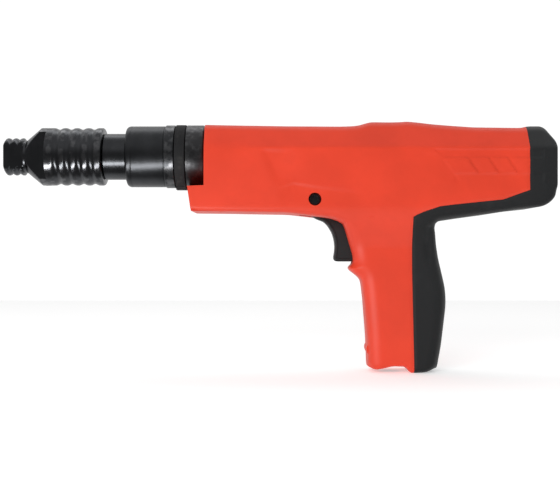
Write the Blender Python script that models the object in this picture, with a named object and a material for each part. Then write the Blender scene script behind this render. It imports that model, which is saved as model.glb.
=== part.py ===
"""Powder-actuated nail gun: a strip-fed tool with a sliding barrel, a moulded housing and a pistol grip.

The muzzle points along -X, the grip hangs down, and the origin is the middle of the bounding box at its base.
"""

import math

import bmesh
import bpy
import numpy as np
from mathutils import Matrix, Vector

MM = 0.001

# Clearances
GAP = 0.3 * MM
SLIDE_GAP = 0.3 * MM
OVERCUT = 5 * MM

# Lengths along the barrel, from the muzzle to the rear cap
NOSE_LENGTH = 61.6 * MM
PRESS_GAP = 14.3 * MM
SLEEVE_LENGTH = 30.0 * MM
RING_LENGTH = 6.6 * MM
COLLAR_LENGTH = 12.0 * MM
HOUSING_LENGTH = 213.5 * MM
OVERALL_LENGTH = NOSE_LENGTH + PRESS_GAP + SLEEVE_LENGTH + RING_LENGTH + COLLAR_LENGTH + HOUSING_LENGTH

# Heights
AXIS_HEIGHT = 133.3 * MM
TOP_RISE = 18.0 * MM
CREASE_RISE = 3.7 * MM

# Turned parts
BARREL_RADIUS = 14.3 * MM
BARREL_SPIGOT_RADIUS = 12.0 * MM
BARREL_BORE_RADIUS = 9.3 * MM
RECEIVER_WALL = 1.7 * MM
RECEIVER_BORE_RADIUS = BARREL_RADIUS + SLIDE_GAP
RECEIVER_RADIUS = RECEIVER_BORE_RADIUS + RECEIVER_WALL
COLLAR_RADIUS = RECEIVER_RADIUS + 3.2 * MM
SLEEVE_WALL = 4.3 * MM
SLEEVE_RADIUS = RECEIVER_BORE_RADIUS + SLEEVE_WALL
RING_RADIUS = SLEEVE_RADIUS + 0.8 * MM
NOSE_RADIUS = BARREL_RADIUS + 3.6 * MM
NOSE_TIP_RADIUS = 11.6 * MM
MUZZLE_BORE_RADIUS = 5.0 * MM
PISTON_ROD_RADIUS = 4.0 * MM
CHAMBER_RADIUS = 3.5 * MM
BREECH_RADIUS = RECEIVER_BORE_RADIUS - GAP
STRIKER_RADIUS = 5.5 * MM

# Moulded housing
HOUSING_HALF_WIDTH = RECEIVER_RADIUS + 7.2 * MM
GRIP_HALF_WIDTH = 15.5 * MM
HOUSING_WALL = 2.0 * MM
FRONT_WALL = 3.0 * MM
EDGE_RADIUS = 4.0 * MM
GRIP_RADIUS = 9.0 * MM
LEDGE_RISE = -19.3 * MM
LIP_REACH = 10.0 * MM
LIP_SLANT = 0.15
LIP_BLEND = 16.0 * MM
FACET_SLOPE = 0.67

# Strip channel
CHANNEL_LENGTH = 10.0 * MM
CHANNEL_HALF_WIDTH = 4.5 * MM
CHANNEL_WALL = 1.5 * MM

# Trigger
TRIGGER_HALF_WIDTH = 5.5 * MM
TRIGGER_SLOT_GAP = 0.5 * MM

# Places along the barrel axis
MUZZLE_X = -OVERALL_LENGTH / 2
REAR_X = OVERALL_LENGTH / 2
NOSE_REAR_X = MUZZLE_X + NOSE_LENGTH
SLEEVE_FRONT_X = NOSE_REAR_X + PRESS_GAP
SLEEVE_REAR_X = SLEEVE_FRONT_X + SLEEVE_LENGTH
RING_REAR_X = SLEEVE_REAR_X + RING_LENGTH
HOUSING_FRONT_X = RING_REAR_X + COLLAR_LENGTH
BARREL_REAR_X = HOUSING_FRONT_X + 103.5 * MM
BREECH_FACE_X = HOUSING_FRONT_X + 120.5 * MM
BREECH_REAR_X = REAR_X - 21.0 * MM
RECEIVER_REAR_X = BREECH_FACE_X + 22.0 * MM
CHANNEL_REAR_X = BREECH_FACE_X - 0.5 * MM
CHANNEL_FRONT_X = CHANNEL_REAR_X - CHANNEL_LENGTH
TRIGGER_X = HOUSING_FRONT_X + 67.0 * MM
TRIGGER_Z = AXIS_HEIGHT - 27.5 * MM
SEAR_X = BREECH_FACE_X + 45.0 * MM
SEAR_Z = AXIS_HEIGHT - 28.8 * MM
BAR_Y = (8.3 * MM, 10.3 * MM)
BREECH_PIN_X = BREECH_FACE_X + 14.0 * MM
BREECH_PIN_Z = AXIS_HEIGHT + 10.2 * MM
STRIKER_NOTCH_LENGTH = 10.8 * MM

TURNED_STEPS = 32
SMALL_STEPS = 16


# ---------------------------------------------------------------- materials


def finish(name, colour, roughness, metallic):
    """A Principled material."""
    material = bpy.data.materials.new(name)
    material.use_nodes = True
    shader = material.node_tree.nodes["Principled BSDF"]
    shader.inputs["Base Color"].default_value = (*colour, 1)
    shader.inputs["Roughness"].default_value = roughness
    shader.inputs["Metallic"].default_value = metallic
    return material


# ---------------------------------------------------------------- shape tools


def add_object(name, bm, material):
    """Turn a bmesh into a named object with outward faces and smooth round parts."""
    bmesh.ops.remove_doubles(bm, verts=bm.verts, dist=1e-6)
    bmesh.ops.recalc_face_normals(bm, faces=bm.faces)
    if bm.calc_volume(signed=True) < 0:
        bmesh.ops.reverse_faces(bm, faces=bm.faces)
    mesh = bpy.data.meshes.new(name)
    bm.to_mesh(mesh)
    bm.free()
    mesh.shade_smooth()
    mesh.set_sharp_from_angle(angle=math.radians(35))
    thing = bpy.data.objects.new(name, mesh)
    bpy.context.collection.objects.link(thing)
    if material:
        mesh.materials.append(material)
    return thing


def turned(name, profile, material=None, steps=TURNED_STEPS, centre=(0, 0, AXIS_HEIGHT), axis="X"):
    """Spin a closed profile of (distance along the axis, radius) points about the axis through centre."""
    bm = bmesh.new()
    ring = [bm.verts.new((along, 0, radius)) for along, radius in profile]
    edges = [bm.edges.new((a, b)) for a, b in zip(ring, ring[1:] + ring[:1])]
    bmesh.ops.spin(
        bm, geom=ring + edges, axis=(1, 0, 0), cent=(0, 0, 0),
        angle=math.tau, steps=steps, use_merge=True,
    )
    bmesh.ops.remove_doubles(bm, verts=bm.verts, dist=1e-6)
    bmesh.ops.dissolve_degenerate(bm, dist=1e-7, edges=bm.edges)
    loose = [e for e in bm.edges if not e.link_faces]
    bmesh.ops.delete(bm, geom=loose, context="EDGES")
    turn = {"X": Matrix.Identity(4), "Y": Matrix.Rotation(math.pi / 2, 4, "Z"),
            "Z": Matrix.Rotation(-math.pi / 2, 4, "Y")}[axis]
    bm.transform(Matrix.Translation(Vector(centre)) @ turn)
    return add_object(name, bm, material)


def rod(name, x0, x1, radius, material=None, steps=SMALL_STEPS, centre=(0, 0, AXIS_HEIGHT), axis="X"):
    """A plain round bar."""
    return turned(name, [(x0, 0), (x0, radius), (x1, radius), (x1, 0)], material, steps, centre, axis)


def tube(name, x0, x1, outer, inner, material=None, steps=TURNED_STEPS):
    """A plain round tube on the barrel axis."""
    return turned(name, [(x0, inner), (x0, outer), (x1, outer), (x1, inner)], material, steps)


def plate(name, outline, y0, y1, material=None):
    """Extrude an outline of (x, z) points from y0 to y1."""
    bm = bmesh.new()
    face = bm.faces.new([bm.verts.new((x, y0, z)) for x, z in outline])
    grown = bmesh.ops.extrude_face_region(bm, geom=[face])["geom"]
    moved = [v for v in grown if isinstance(v, bmesh.types.BMVert)]
    bmesh.ops.translate(bm, vec=(0, y1 - y0, 0), verts=moved)
    return add_object(name, bm, material)


def block(name, low, high, material=None):
    """A plain box between two corners."""
    (x0, y0, z0), (x1, y1, z1) = low, high
    return plate(name, [(x0, z0), (x1, z0), (x1, z1), (x0, z1)], y0, y1, material)


def combine(target, operation, *tools):
    """Cut or join the target with all the tools at once, and hide the tools."""
    group = bpy.data.collections.new(f"{target.name}_{operation.lower()}")
    bpy.context.scene.collection.children.link(group)
    for tool in tools:
        tool.hide_render = True
        tool.display_type = "WIRE"
        for old in tool.users_collection:
            old.objects.unlink(tool)
        group.objects.link(tool)
    modifier = target.modifiers.new(group.name, "BOOLEAN")
    modifier.operation = operation
    modifier.solver = "EXACT"
    modifier.operand_type = "COLLECTION"
    modifier.collection = group
    return target


def cut(target, *tools):
    return combine(target, "DIFFERENCE", *tools)


def join(target, *tools):
    return combine(target, "UNION", *tools)


def coil(name, start, end, radius, wire, turns, material):
    """A closed coil spring: a round wire carried along a helix from start to end."""
    start, end = Vector(start), Vector(end)
    along = end - start
    side = along.orthogonal().normalized()
    other = along.normalized().cross(side)
    points_per_turn, sides = 10, 5
    count = int(turns * points_per_turn)
    bm = bmesh.new()
    rings = []
    for k in range(count + 1):
        angle = math.tau * k / points_per_turn
        outward = side * math.cos(angle) + other * math.sin(angle)
        centre = start + along * (k / count) + outward * radius
        lift = along.normalized()
        rings.append([
            bm.verts.new(centre + wire * (outward * math.cos(t) + lift * math.sin(t)))
            for t in (math.tau * s / sides for s in range(sides))
        ])
    for a, b in zip(rings, rings[1:]):
        for s in range(sides):
            bm.faces.new((a[s], a[(s + 1) % sides], b[(s + 1) % sides], b[s]))
    bm.faces.new(rings[0][::-1])
    bm.faces.new(rings[-1])
    return add_object(name, bm, material)


# ---------------------------------------------------------------- moulded housing


def at(x, z):
    """A point given in mm behind the housing's front and above the barrel axis."""
    return (HOUSING_FRONT_X + x * MM, AXIS_HEIGHT + z * MM)


DRAWN_LENGTH = 213.5
DRAWN_HEIGHT = 133.3
STRETCH_FROM_X = 155.0
STRETCH_BELOW_Z = -100.0


def stretch(points):
    """Outline points in mm: those behind the grip follow the length, and the grip's base follows the height."""
    longer = HOUSING_LENGTH / MM - DRAWN_LENGTH
    taller = AXIS_HEIGHT / MM - DRAWN_HEIGHT
    return [(x + longer if x > STRETCH_FROM_X else x, z - taller if z < STRETCH_BELOW_Z else z)
            for x, z in points]


# Top edge of the housing: mm behind the front, mm above the axis
TOP_LINE = stretch([
    (-20, 18.8), (0, 18.8), (22, 18.3), (51, 17.8), (84, 17.6), (91, 17.9), (95, 18.5),
    (98.4, 19.7), (102, 20.6), (113, 20.4), (120.4, 20.6), (124, 21.0), (131.4, 20.2),
    (138.7, 19.2), (149.7, 18.2), (164.3, 17.1), (193.6, 16.7), (197.2, 17.8), (207, 17.8), (213.5, 8.0),
])
# Lower edge, from the front lip round the grip to the rear face
LOW_LINE = stretch([
    (-8.2, -34.0), (0, -34.5), (51, -35.5), (66, -37.3), (76.4, -38.5), (81.1, -40.1), (84.6, -42.2),
    (85.9, -45.2), (88.4, -53.9), (90.8, -61.6), (90.9, -66.5), (88.2, -68.7), (89.1, -70.7),
    (93.0, -73.5), (95.7, -76.1), (96.5, -78.6), (97.7, -88.6), (99.5, -111.7), (100.2, -129.8),
    (104.1, -131.6), (110.1, -130.4), (115.3, -129.2), (122.7, -129.5), (125.5, -133.3), (128.6, -133.3),
    (135.3, -132.9), (141.1, -130.7), (142.6, -131.0), (145.2, -116.6), (148.0, -93.3), (148.1, -87.2),
    (147.5, -80.7), (145.7, -72.9), (143.5, -63.6), (141.0, -47.5), (140.2, -44.6), (140.4, -42.6),
    (142.0, -40.6), (145.8, -39.9), (158.3, -38.0), (173.6, -35.9), (188.9, -33.5), (204.5, -31.8),
    (209.0, -29.5), (212.5, -25.8), (213.5, -21.3),
])
# Where the red shell meets the black rear guard, from the top down to the grip's base
PARTING_LINE = stretch([
    (196.3, 40), (196.3, -22.0), (180.4, -27.7), (151.7, -30.7), (142.5, -31.8), (138, -33.3),
    (132.9, -35.0), (128.5, -36.9), (126.4, -38.2), (126.4, -70), (127.8, -131), (127.8, -145),
])
GRIP_MIDDLE = 114.2
SEAM_RISE = -42.2
# Heights of the rows that make the grip, down from the seam where the body's grid ends
GRIP_LEVELS = (SEAM_RISE, -45.2, -49.5, -53.9, -61.6, -65.5, -68.7, -70.7, -73.5, -78.6, -88.6,
               -99.9, -111.7, -123)
BASE_BELOW = -129.0 - (AXIS_HEIGHT / MM - DRAWN_HEIGHT)


def smooth(value, low, high):
    """A smooth step from 0 at low to 1 at high."""
    t = np.clip((value - low) / (high - low), 0, 1)
    return t * t * (3 - 2 * t)


def line_distance(x, z, line):
    """Distance from each point to an open line, all in mm."""
    best = np.full(np.shape(x), 1e9)
    for (ax, az), (bx, bz) in zip(line, line[1:]):
        dx, dz = bx - ax, bz - az
        t = np.clip(((x - ax) * dx + (z - az) * dz) / (dx * dx + dz * dz), 0, 1)
        best = np.minimum(best, np.hypot(x - ax - t * dx, z - az - t * dz))
    return best


def rounding(distance, radius):
    """How far a round edge of this radius falls away at a distance from the outline."""
    d = np.clip(distance, 0, radius)
    return radius - np.sqrt(np.maximum(radius**2 - (radius - d) ** 2, 0))


def half_width(x, z, inset):
    """Half the moulding's width at points in mm, drawn in by inset all round."""
    body = HOUSING_HALF_WIDTH / MM
    grip = GRIP_HALF_WIDTH / MM
    crease = CREASE_RISE / MM
    wide = body - np.maximum(z - crease, 0) * FACET_SLOPE
    share = smooth(z, -52, -33)
    flat = grip + (wide - grip) * share
    radius = GRIP_RADIUS / MM + (EDGE_RADIUS / MM - GRIP_RADIUS / MM) * share
    top = np.interp(x, *zip(*TOP_LINE))
    low = line_distance(x, z, LOW_LINE)
    rear = HOUSING_LENGTH / MM - x
    fall = rounding(top - z - inset, EDGE_RADIUS / MM - inset)
    fall = fall + rounding(low - inset, radius - inset)
    fall = fall + rounding(rear - inset, EDGE_RADIUS / MM - inset)
    return flat - inset - fall


def crossings(line, level, front):
    """Where the grip's outline crosses a height, on its front or its back."""
    base = min(range(len(line)), key=lambda k: line[k][1])
    found = []
    for (ax, az), (bx, bz) in zip(line, line[1:]):
        if min(az, bz) <= level <= max(az, bz) and az != bz:
            found.append(ax + (level - az) / (bz - az) * (bx - ax))
    side = [x for x in found if (x < GRIP_MIDDLE) == front]
    return (max(side) if front else min(side)) if side else line[base][0]


def moulding_grids(inset):
    """The housing's side as two grids in mm that share a seam: the body, and the grip below it."""
    wall = inset
    steps = np.array([0, 1.2, 4.0])
    front = 0 if not inset else FRONT_WALL / MM
    length = HOUSING_LENGTH / MM
    seam = SEAM_RISE
    f0 = crossings(LOW_LINE, seam, True) + wall
    b0 = crossings(LOW_LINE, seam, False) - wall
    share = np.array([0, 0.03, 0.09, 0.17, 0.25, 0.37, 0.5, 0.62, 0.74, 0.84, 0.92, 0.97, 1.0])
    across = f0 + (b0 - f0) * share
    ahead = np.array([front, front + 1.2, front + 4, 16, 30, 44, 58, 68, 76, 80.5])
    ahead = ahead[ahead < f0 - 0.6]
    behind = np.array([b0 + 1.2, b0 + 4, 152, 165, 180, length - 16.5, length - 12, length - 6.5])
    behind = np.concatenate([behind, length - wall - steps[::-1]])
    x = np.concatenate([ahead, across, behind])
    top = np.interp(x, *zip(*TOP_LINE)) - wall
    lower = [p for p in LOW_LINE if p[0] <= 84.6 and p[1] > seam - 0.5]
    hind = [p for p in LOW_LINE if p[0] >= 140.2 and p[1] > -45]
    low = np.where(x < f0 - 0.1, np.interp(x, *zip(*lower)), np.interp(x, *zip(*hind))) + wall
    inside = (x > f0 - 0.01) & (x < b0 + 0.01)
    low = np.where(inside, seam, low)
    ledge = LEDGE_RISE / MM - wall
    wanted = np.array([ledge - 0.3, ledge + 0.3, -8, CREASE_RISE / MM, 11.5])
    order = np.arange(len(wanted))
    lowest = low[:, None] + 4.5 + 0.5 * order
    highest = top[:, None] - 4.5 - 0.5 * order[::-1]
    levels = np.clip(wanted, lowest, highest)
    z = np.column_stack([low, low + 1.2, low + 4, levels, top - 4, top - 1.2, top])
    xx = np.repeat(x[:, None], z.shape[1], axis=1)
    reach = np.where(z < ledge, -LIP_REACH / MM - (z - ledge) * LIP_SLANT, 0)
    blend = LIP_BLEND / MM
    xx = xx + reach * np.clip((front + blend - xx) / blend, 0, 1)
    levels = np.array([z for _, z in stretch([(0, level) for level in GRIP_LEVELS])])
    rows = []
    for level in levels:
        f = crossings(LOW_LINE, level, True) + wall
        b = crossings(LOW_LINE, level, False) - wall
        rows.append(f + (b - f) * share)
    gx = np.array(rows)
    gz = np.repeat(levels[:, None], len(share), axis=1)
    base_line = [p for p in LOW_LINE if p[1] < BASE_BELOW]
    base_x = gx[-1] + (gx[-1] - gx[-2]) * 0.6
    base = np.interp(base_x, *zip(*base_line)) + wall
    gx = np.vstack([gx, base_x, base_x])
    gz = np.vstack([gz, base + 1.2, base])
    return (xx, z), (gx, gz)


def moulding(name, inset=0.0, sides=(-1, 1), middle=0.0):
    """The closed solid of the moulding, drawn in by inset mm, on one side of the middle or both."""
    bm = bmesh.new()
    for side in sides:
        for grid_x, grid_z in moulding_grids(inset):
            width = np.maximum(half_width(grid_x, grid_z, inset), 0.5)
            rows, columns = grid_x.shape
            verts = [[
                bm.verts.new((HOUSING_FRONT_X + grid_x[i, j] * MM, side * width[i, j] * MM,
                              AXIS_HEIGHT + grid_z[i, j] * MM))
                for j in range(columns)] for i in range(rows)]
            for i in range(rows - 1):
                for j in range(columns - 1):
                    bm.faces.new((verts[i][j], verts[i + 1][j], verts[i + 1][j + 1], verts[i][j + 1]))
    bmesh.ops.remove_doubles(bm, verts=bm.verts, dist=1e-6)
    rim = [e for e in bm.edges if len(e.link_faces) == 1]
    grown = bmesh.ops.extrude_edge_only(bm, edges=rim)["geom"]
    for vert in (g for g in grown if isinstance(g, bmesh.types.BMVert)):
        vert.co.y = middle
    if len(sides) == 1:
        edges = [g for g in grown if isinstance(g, bmesh.types.BMEdge)]
        bmesh.ops.holes_fill(bm, edges=[e for e in edges if len(e.link_faces) == 1])
    return add_object(name, bm, None)


def guard_region(name, shift):
    """The region that the black rear guard takes, its front line moved by shift."""
    line = [at(x, z) for x, z in PARTING_LINE]
    moved = [(x + shift, z - shift) for x, z in line]
    far = REAR_X + 20 * MM
    outline = moved + [(far, moved[-1][1]), (far, moved[0][1])]
    reach = HOUSING_HALF_WIDTH + 10 * MM
    return plate(name, outline, -reach, reach)


# Screw places: mm behind the front, mm above the axis
HOUSING_SCREWS = stretch([(16.5, -28.5), (100.5, -34.0), (103.6, -119.0), (183.5, -20.6)])
GUARD_SCREWS = stretch([(135.5, -121.0), (202.5, -21.0)])
SCREW_RADIUS = 1.9 * MM
SCREW_HEAD_RADIUS = 2.9 * MM
SCREW_HEAD_LENGTH = 2.6 * MM
HEAD_SINK = 3.4 * MM
BOSS_RADIUS = 4.5 * MM
PIVOT_SCREW_RADIUS = 2.5 * MM
PIVOT_HEAD_RADIUS = 3.6 * MM
PIVOT_SEAT_RADIUS = PIVOT_HEAD_RADIUS + GAP
PIVOT_SINK = 4.5 * MM
PIVOT_BOSS_RADIUS = 4.8 * MM
PIVOT = ((TRIGGER_X - HOUSING_FRONT_X) / MM, (TRIGGER_Z - AXIS_HEIGHT) / MM)
# The slot that the trigger swings in: mm behind the front, mm above the axis
TRIGGER_SLOT = [(58, -33), (58, -42), (80, -67), (86, -67), (93.5, -66), (94, -44), (90, -33)]


def side_face(x, z):
    """Half-width of the moulding at a place in mm, as a length."""
    return float(half_width(np.array([x]), np.array([z]), 0.0)[0]) * MM


def cross_rod(name, x, z, y0, y1, radius, material=None):
    """A round bar across the tool, from y0 to y1, at a place in mm."""
    px, pz = at(x, z)
    return rod(name, y0, y1, radius, material, SMALL_STEPS, (px, 0, pz), "Y")


def screw_cutter(name, x, z, face):
    """A hole for a screw from the right side, with a sunk seat for its head."""
    px, pz = at(x, z)
    seat = face - HEAD_SINK
    wide, head = SCREW_RADIUS + GAP, SCREW_HEAD_RADIUS + GAP
    profile = [(4 * MM - face, 0), (4 * MM - face, wide), (seat, wide), (seat, head),
               (face + OVERCUT, head), (face + OVERCUT, 0)]
    return turned(name, profile, None, SMALL_STEPS, (px, 0, pz), "Y")


def pivot_cutter(name, side, face):
    """The hole for the trigger's pivot screw, with the sunk seat for its head or nut."""
    seat, wide = face - PIVOT_SINK, PIVOT_SCREW_RADIUS + GAP
    profile = [(0, 0), (0, wide), (seat, wide), (seat, PIVOT_SEAT_RADIUS),
               (face + OVERCUT, PIVOT_SEAT_RADIUS), (face + OVERCUT, 0)]
    profile = [(side * y, radius) for y, radius in profile]
    return turned(name, profile, None, SMALL_STEPS, (TRIGGER_X, 0, TRIGGER_Z), "Y")


def housing_half(name, side, red):
    """One red shell half: the moulding less its cavity, the rear guard's region and the openings."""
    half = moulding(name, 0.0, (side,), side * GAP / 2)
    half.data.materials.append(red)
    cut(half, moulding(name + "_cavity", HOUSING_WALL / MM, (-1, 1)))
    bosses = []
    for k, (x, z) in enumerate(HOUSING_SCREWS):
        end = side_face(x, z) - 1 * MM
        bosses.append(cross_rod(f"{name}_boss_{k}", x, z, side * GAP, side * end, BOSS_RADIUS))
    pivot_face = side_face(*PIVOT)
    slot = TRIGGER_HALF_WIDTH + TRIGGER_SLOT_GAP
    bosses.append(cross_rod(name + "_pivot_boss", *PIVOT, side * (slot + GAP),
                            side * (pivot_face - 1 * MM), PIVOT_BOSS_RADIUS))
    join(half, *bosses)
    front = rod(name + "_receiver_seat", HOUSING_FRONT_X - OVERCUT, RECEIVER_REAR_X + GAP,
                RECEIVER_RADIUS + GAP, None, TURNED_STEPS)
    nest = rod(name + "_collar_nest", RING_REAR_X - OVERCUT, HOUSING_FRONT_X + GAP, RING_RADIUS + GAP,
               None, TURNED_STEPS)
    trigger_slot = plate(name + "_trigger_slot", [at(*p) for p in TRIGGER_SLOT], -slot, slot)
    mouth = CHANNEL_HALF_WIDTH + CHANNEL_WALL + GAP
    x0 = CHANNEL_FRONT_X - CHANNEL_WALL - GAP
    x1 = CHANNEL_REAR_X + CHANNEL_WALL + GAP
    strip_mouth = block(name + "_mouth", (x0, -mouth, -OVERCUT), (x1, mouth, 12 * MM))
    top = AXIS_HEIGHT + TOP_RISE
    strip_exit = block(name + "_exit", (BARREL_REAR_X - 0.5 * MM, -6.3 * MM, top - 4 * MM),
                       (BREECH_FACE_X, 6.3 * MM, top + 10 * MM))
    holes = [screw_cutter(f"{name}_hole_{k}", x, z, side_face(x, z))
             for k, (x, z) in enumerate(HOUSING_SCREWS)]
    cut(half, guard_region(name + "_guard_cut", -GAP), front, nest, trigger_slot, strip_mouth,
        strip_exit, pivot_cutter(name + "_pivot_hole", side, pivot_face), *holes)
    return half


def rear_guard(black):
    """The black cap, underside strip and backstrap in one moulding."""
    guard = moulding("rear_guard", 0.0, (-1, 1))
    guard.data.materials.append(black)
    cut(guard, moulding("guard_cavity", HOUSING_WALL / MM, (-1, 1)))
    faces = [side_face(x, z) for x, z in GUARD_SCREWS]
    combine(guard, "INTERSECT", guard_region("guard_keep", 0.0))
    join(guard, *[cross_rod(f"guard_boss_{k}", x, z, 1 * MM - face, face - 1 * MM, BOSS_RADIUS)
                  for k, ((x, z), face) in enumerate(zip(GUARD_SCREWS, faces))])
    cut(guard, *[screw_cutter(f"guard_hole_{k}", x, z, face)
                 for k, ((x, z), face) in enumerate(zip(GUARD_SCREWS, faces))])
    return guard


def screws(steel):
    """The screws that hold the shells and the guard, put in from the right side, and the trigger's pivot."""
    groups = {"housing_screw": HOUSING_SCREWS, "guard_screw": GUARD_SCREWS}
    for kind, places in groups.items():
        for k, (x, z) in enumerate(places):
            face = side_face(x, z)
            seat, tip = face - HEAD_SINK + GAP, 5 * MM - face
            top, socket = seat + SCREW_HEAD_LENGTH, seat + 1 * MM
            profile = [(tip, 0), (tip, SCREW_RADIUS), (seat, SCREW_RADIUS), (seat, SCREW_HEAD_RADIUS),
                       (top, SCREW_HEAD_RADIUS), (top, 1.5 * MM), (socket, 1.5 * MM), (socket, 0)]
            px, pz = at(x, z)
            turned(f"{kind}_{k + 1}", profile, steel, 12, (px, 0, pz), "Y")
    place = (TRIGGER_X, 0, TRIGGER_Z)
    seat = side_face(*PIVOT) - PIVOT_SINK
    under, top = -seat - GAP, -seat - 3.5 * MM
    socket = top + 1.8 * MM
    bolt = [(socket, 0), (socket, 1.9 * MM), (top, 1.9 * MM), (top, PIVOT_HEAD_RADIUS),
            (under, PIVOT_HEAD_RADIUS), (under, PIVOT_SCREW_RADIUS), (seat, PIVOT_SCREW_RADIUS), (seat, 0)]
    turned("trigger_screw", bolt, steel, 16, place, "Y")
    nut = [(seat + GAP, 0), (seat + GAP, PIVOT_HEAD_RADIUS), (seat + 3.4 * MM, PIVOT_HEAD_RADIUS),
           (seat + 3.4 * MM, 0)]
    turned("trigger_nut", nut, steel, 6, place, "Y")


# ---------------------------------------------------------------- barrel group


def nose_profile():
    """The nosepiece's profile: three round ribs, a neck, a cone and the ribbed collar."""
    front = MUZZLE_X
    points = [(front, MUZZLE_BORE_RADIUS), (front, NOSE_TIP_RADIUS - 1.2 * MM)]
    pitch = 4.5 * MM
    for rib in range(3):
        crest = front + 1.8 * MM + rib * pitch
        points += [(crest - 0.9 * MM, NOSE_TIP_RADIUS - 0.3 * MM), (crest + 0.9 * MM, NOSE_TIP_RADIUS - 0.3 * MM),
                   (crest + 2.2 * MM, NOSE_TIP_RADIUS - 1.4 * MM)]
    neck = front + 13.0 * MM
    points += [(neck, NOSE_TIP_RADIUS - 1.6 * MM), (neck + 10.5 * MM, NOSE_RADIUS)]
    for groove in range(4):
        middle = front + (33.8 + 7.15 * groove) * MM
        points += [(middle - 1.9 * MM, NOSE_RADIUS), (middle - 1.0 * MM, NOSE_RADIUS - 1.4 * MM),
                   (middle + 1.0 * MM, NOSE_RADIUS - 1.4 * MM), (middle + 1.9 * MM, NOSE_RADIUS)]
    rear = NOSE_REAR_X
    points += [(rear - 1.2 * MM, NOSE_RADIUS), (rear, NOSE_RADIUS - 1.0 * MM),
               (rear, BARREL_SPIGOT_RADIUS + GAP)]
    socket = rear - 22.3 * MM
    points += [(socket, BARREL_SPIGOT_RADIUS + GAP), (socket, MUZZLE_BORE_RADIUS)]
    return points


def barrel_group(steel, dark):
    nose = turned("nosepiece", nose_profile(), steel)
    wide = NOSE_RADIUS + OVERCUT
    for side in (-1, 1):
        tip = block(f"nose_tip_flat_{side}", (MUZZLE_X - OVERCUT, side * 8.0 * MM, AXIS_HEIGHT - wide),
                    (MUZZLE_X + 12.5 * MM, side * wide, AXIS_HEIGHT + wide))
        big = block(f"nose_side_flat_{side}", (MUZZLE_X + 14.0 * MM, side * 10.5 * MM, AXIS_HEIGHT - wide),
                    (MUZZLE_X + 27.0 * MM, side * wide, AXIS_HEIGHT + wide))
        cut(nose, tip, big)
    detent_x = MUZZLE_X + 26.5 * MM
    cut(nose, rod("detent_hole", 0, 30 * MM, 2.0 * MM, None, SMALL_STEPS,
                  (detent_x, 0, AXIS_HEIGHT - NOSE_RADIUS - 24.5 * MM), "Z"))
    rod("nose_detent", 0, 4.5 * MM, 2.0 * MM - GAP, dark, 12,
        (detent_x, 0, AXIS_HEIGHT - NOSE_RADIUS + 0.4 * MM), "Z")

    rear, step = BARREL_REAR_X, NOSE_REAR_X + GAP
    front = NOSE_REAR_X - 22.0 * MM
    bore_end = rear - 9 * MM
    turned("barrel_tube", [
        (front, BARREL_BORE_RADIUS), (front, BARREL_SPIGOT_RADIUS), (step, BARREL_SPIGOT_RADIUS),
        (step, BARREL_RADIUS), (rear - 1 * MM, BARREL_RADIUS), (rear, BARREL_RADIUS - 1 * MM),
        (rear, CHAMBER_RADIUS), (bore_end, CHAMBER_RADIUS), (bore_end, BARREL_BORE_RADIUS),
    ], steel)
    head_rear = bore_end - 1.0 * MM
    head_front = head_rear - 11 * MM
    tip = MUZZLE_X + 112.0 * MM
    head = BARREL_BORE_RADIUS - GAP
    groove = head - 1.6 * MM
    turned("piston", [
        (tip, 0), (tip, PISTON_ROD_RADIUS), (head_front - 2 * MM, PISTON_ROD_RADIUS), (head_front, head),
        (head_front + 2.5 * MM, head), (head_front + 2.5 * MM, groove), (head_front + 4.3 * MM, groove),
        (head_front + 4.3 * MM, head), (head_front + 6.2 * MM, head), (head_front + 6.2 * MM, groove),
        (head_front + 8.0 * MM, groove), (head_front + 8.0 * MM, head), (head_rear, head), (head_rear, 0),
    ], steel, 24)
    for k, place in enumerate((2.5, 6.2)):
        start = head_front + place * MM + GAP
        tube(f"piston_ring_{k + 1}", start, start + 1.2 * MM, BARREL_BORE_RADIUS - 0.1 * MM, groove + GAP, dark, 24)
    buffer_front = MUZZLE_X + 84 * MM
    tube("piston_stop", buffer_front, buffer_front + 10 * MM, BARREL_BORE_RADIUS - GAP,
         PISTON_ROD_RADIUS + 0.5 * MM, dark, 24)


# ---------------------------------------------------------------- fixed metal parts


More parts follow.
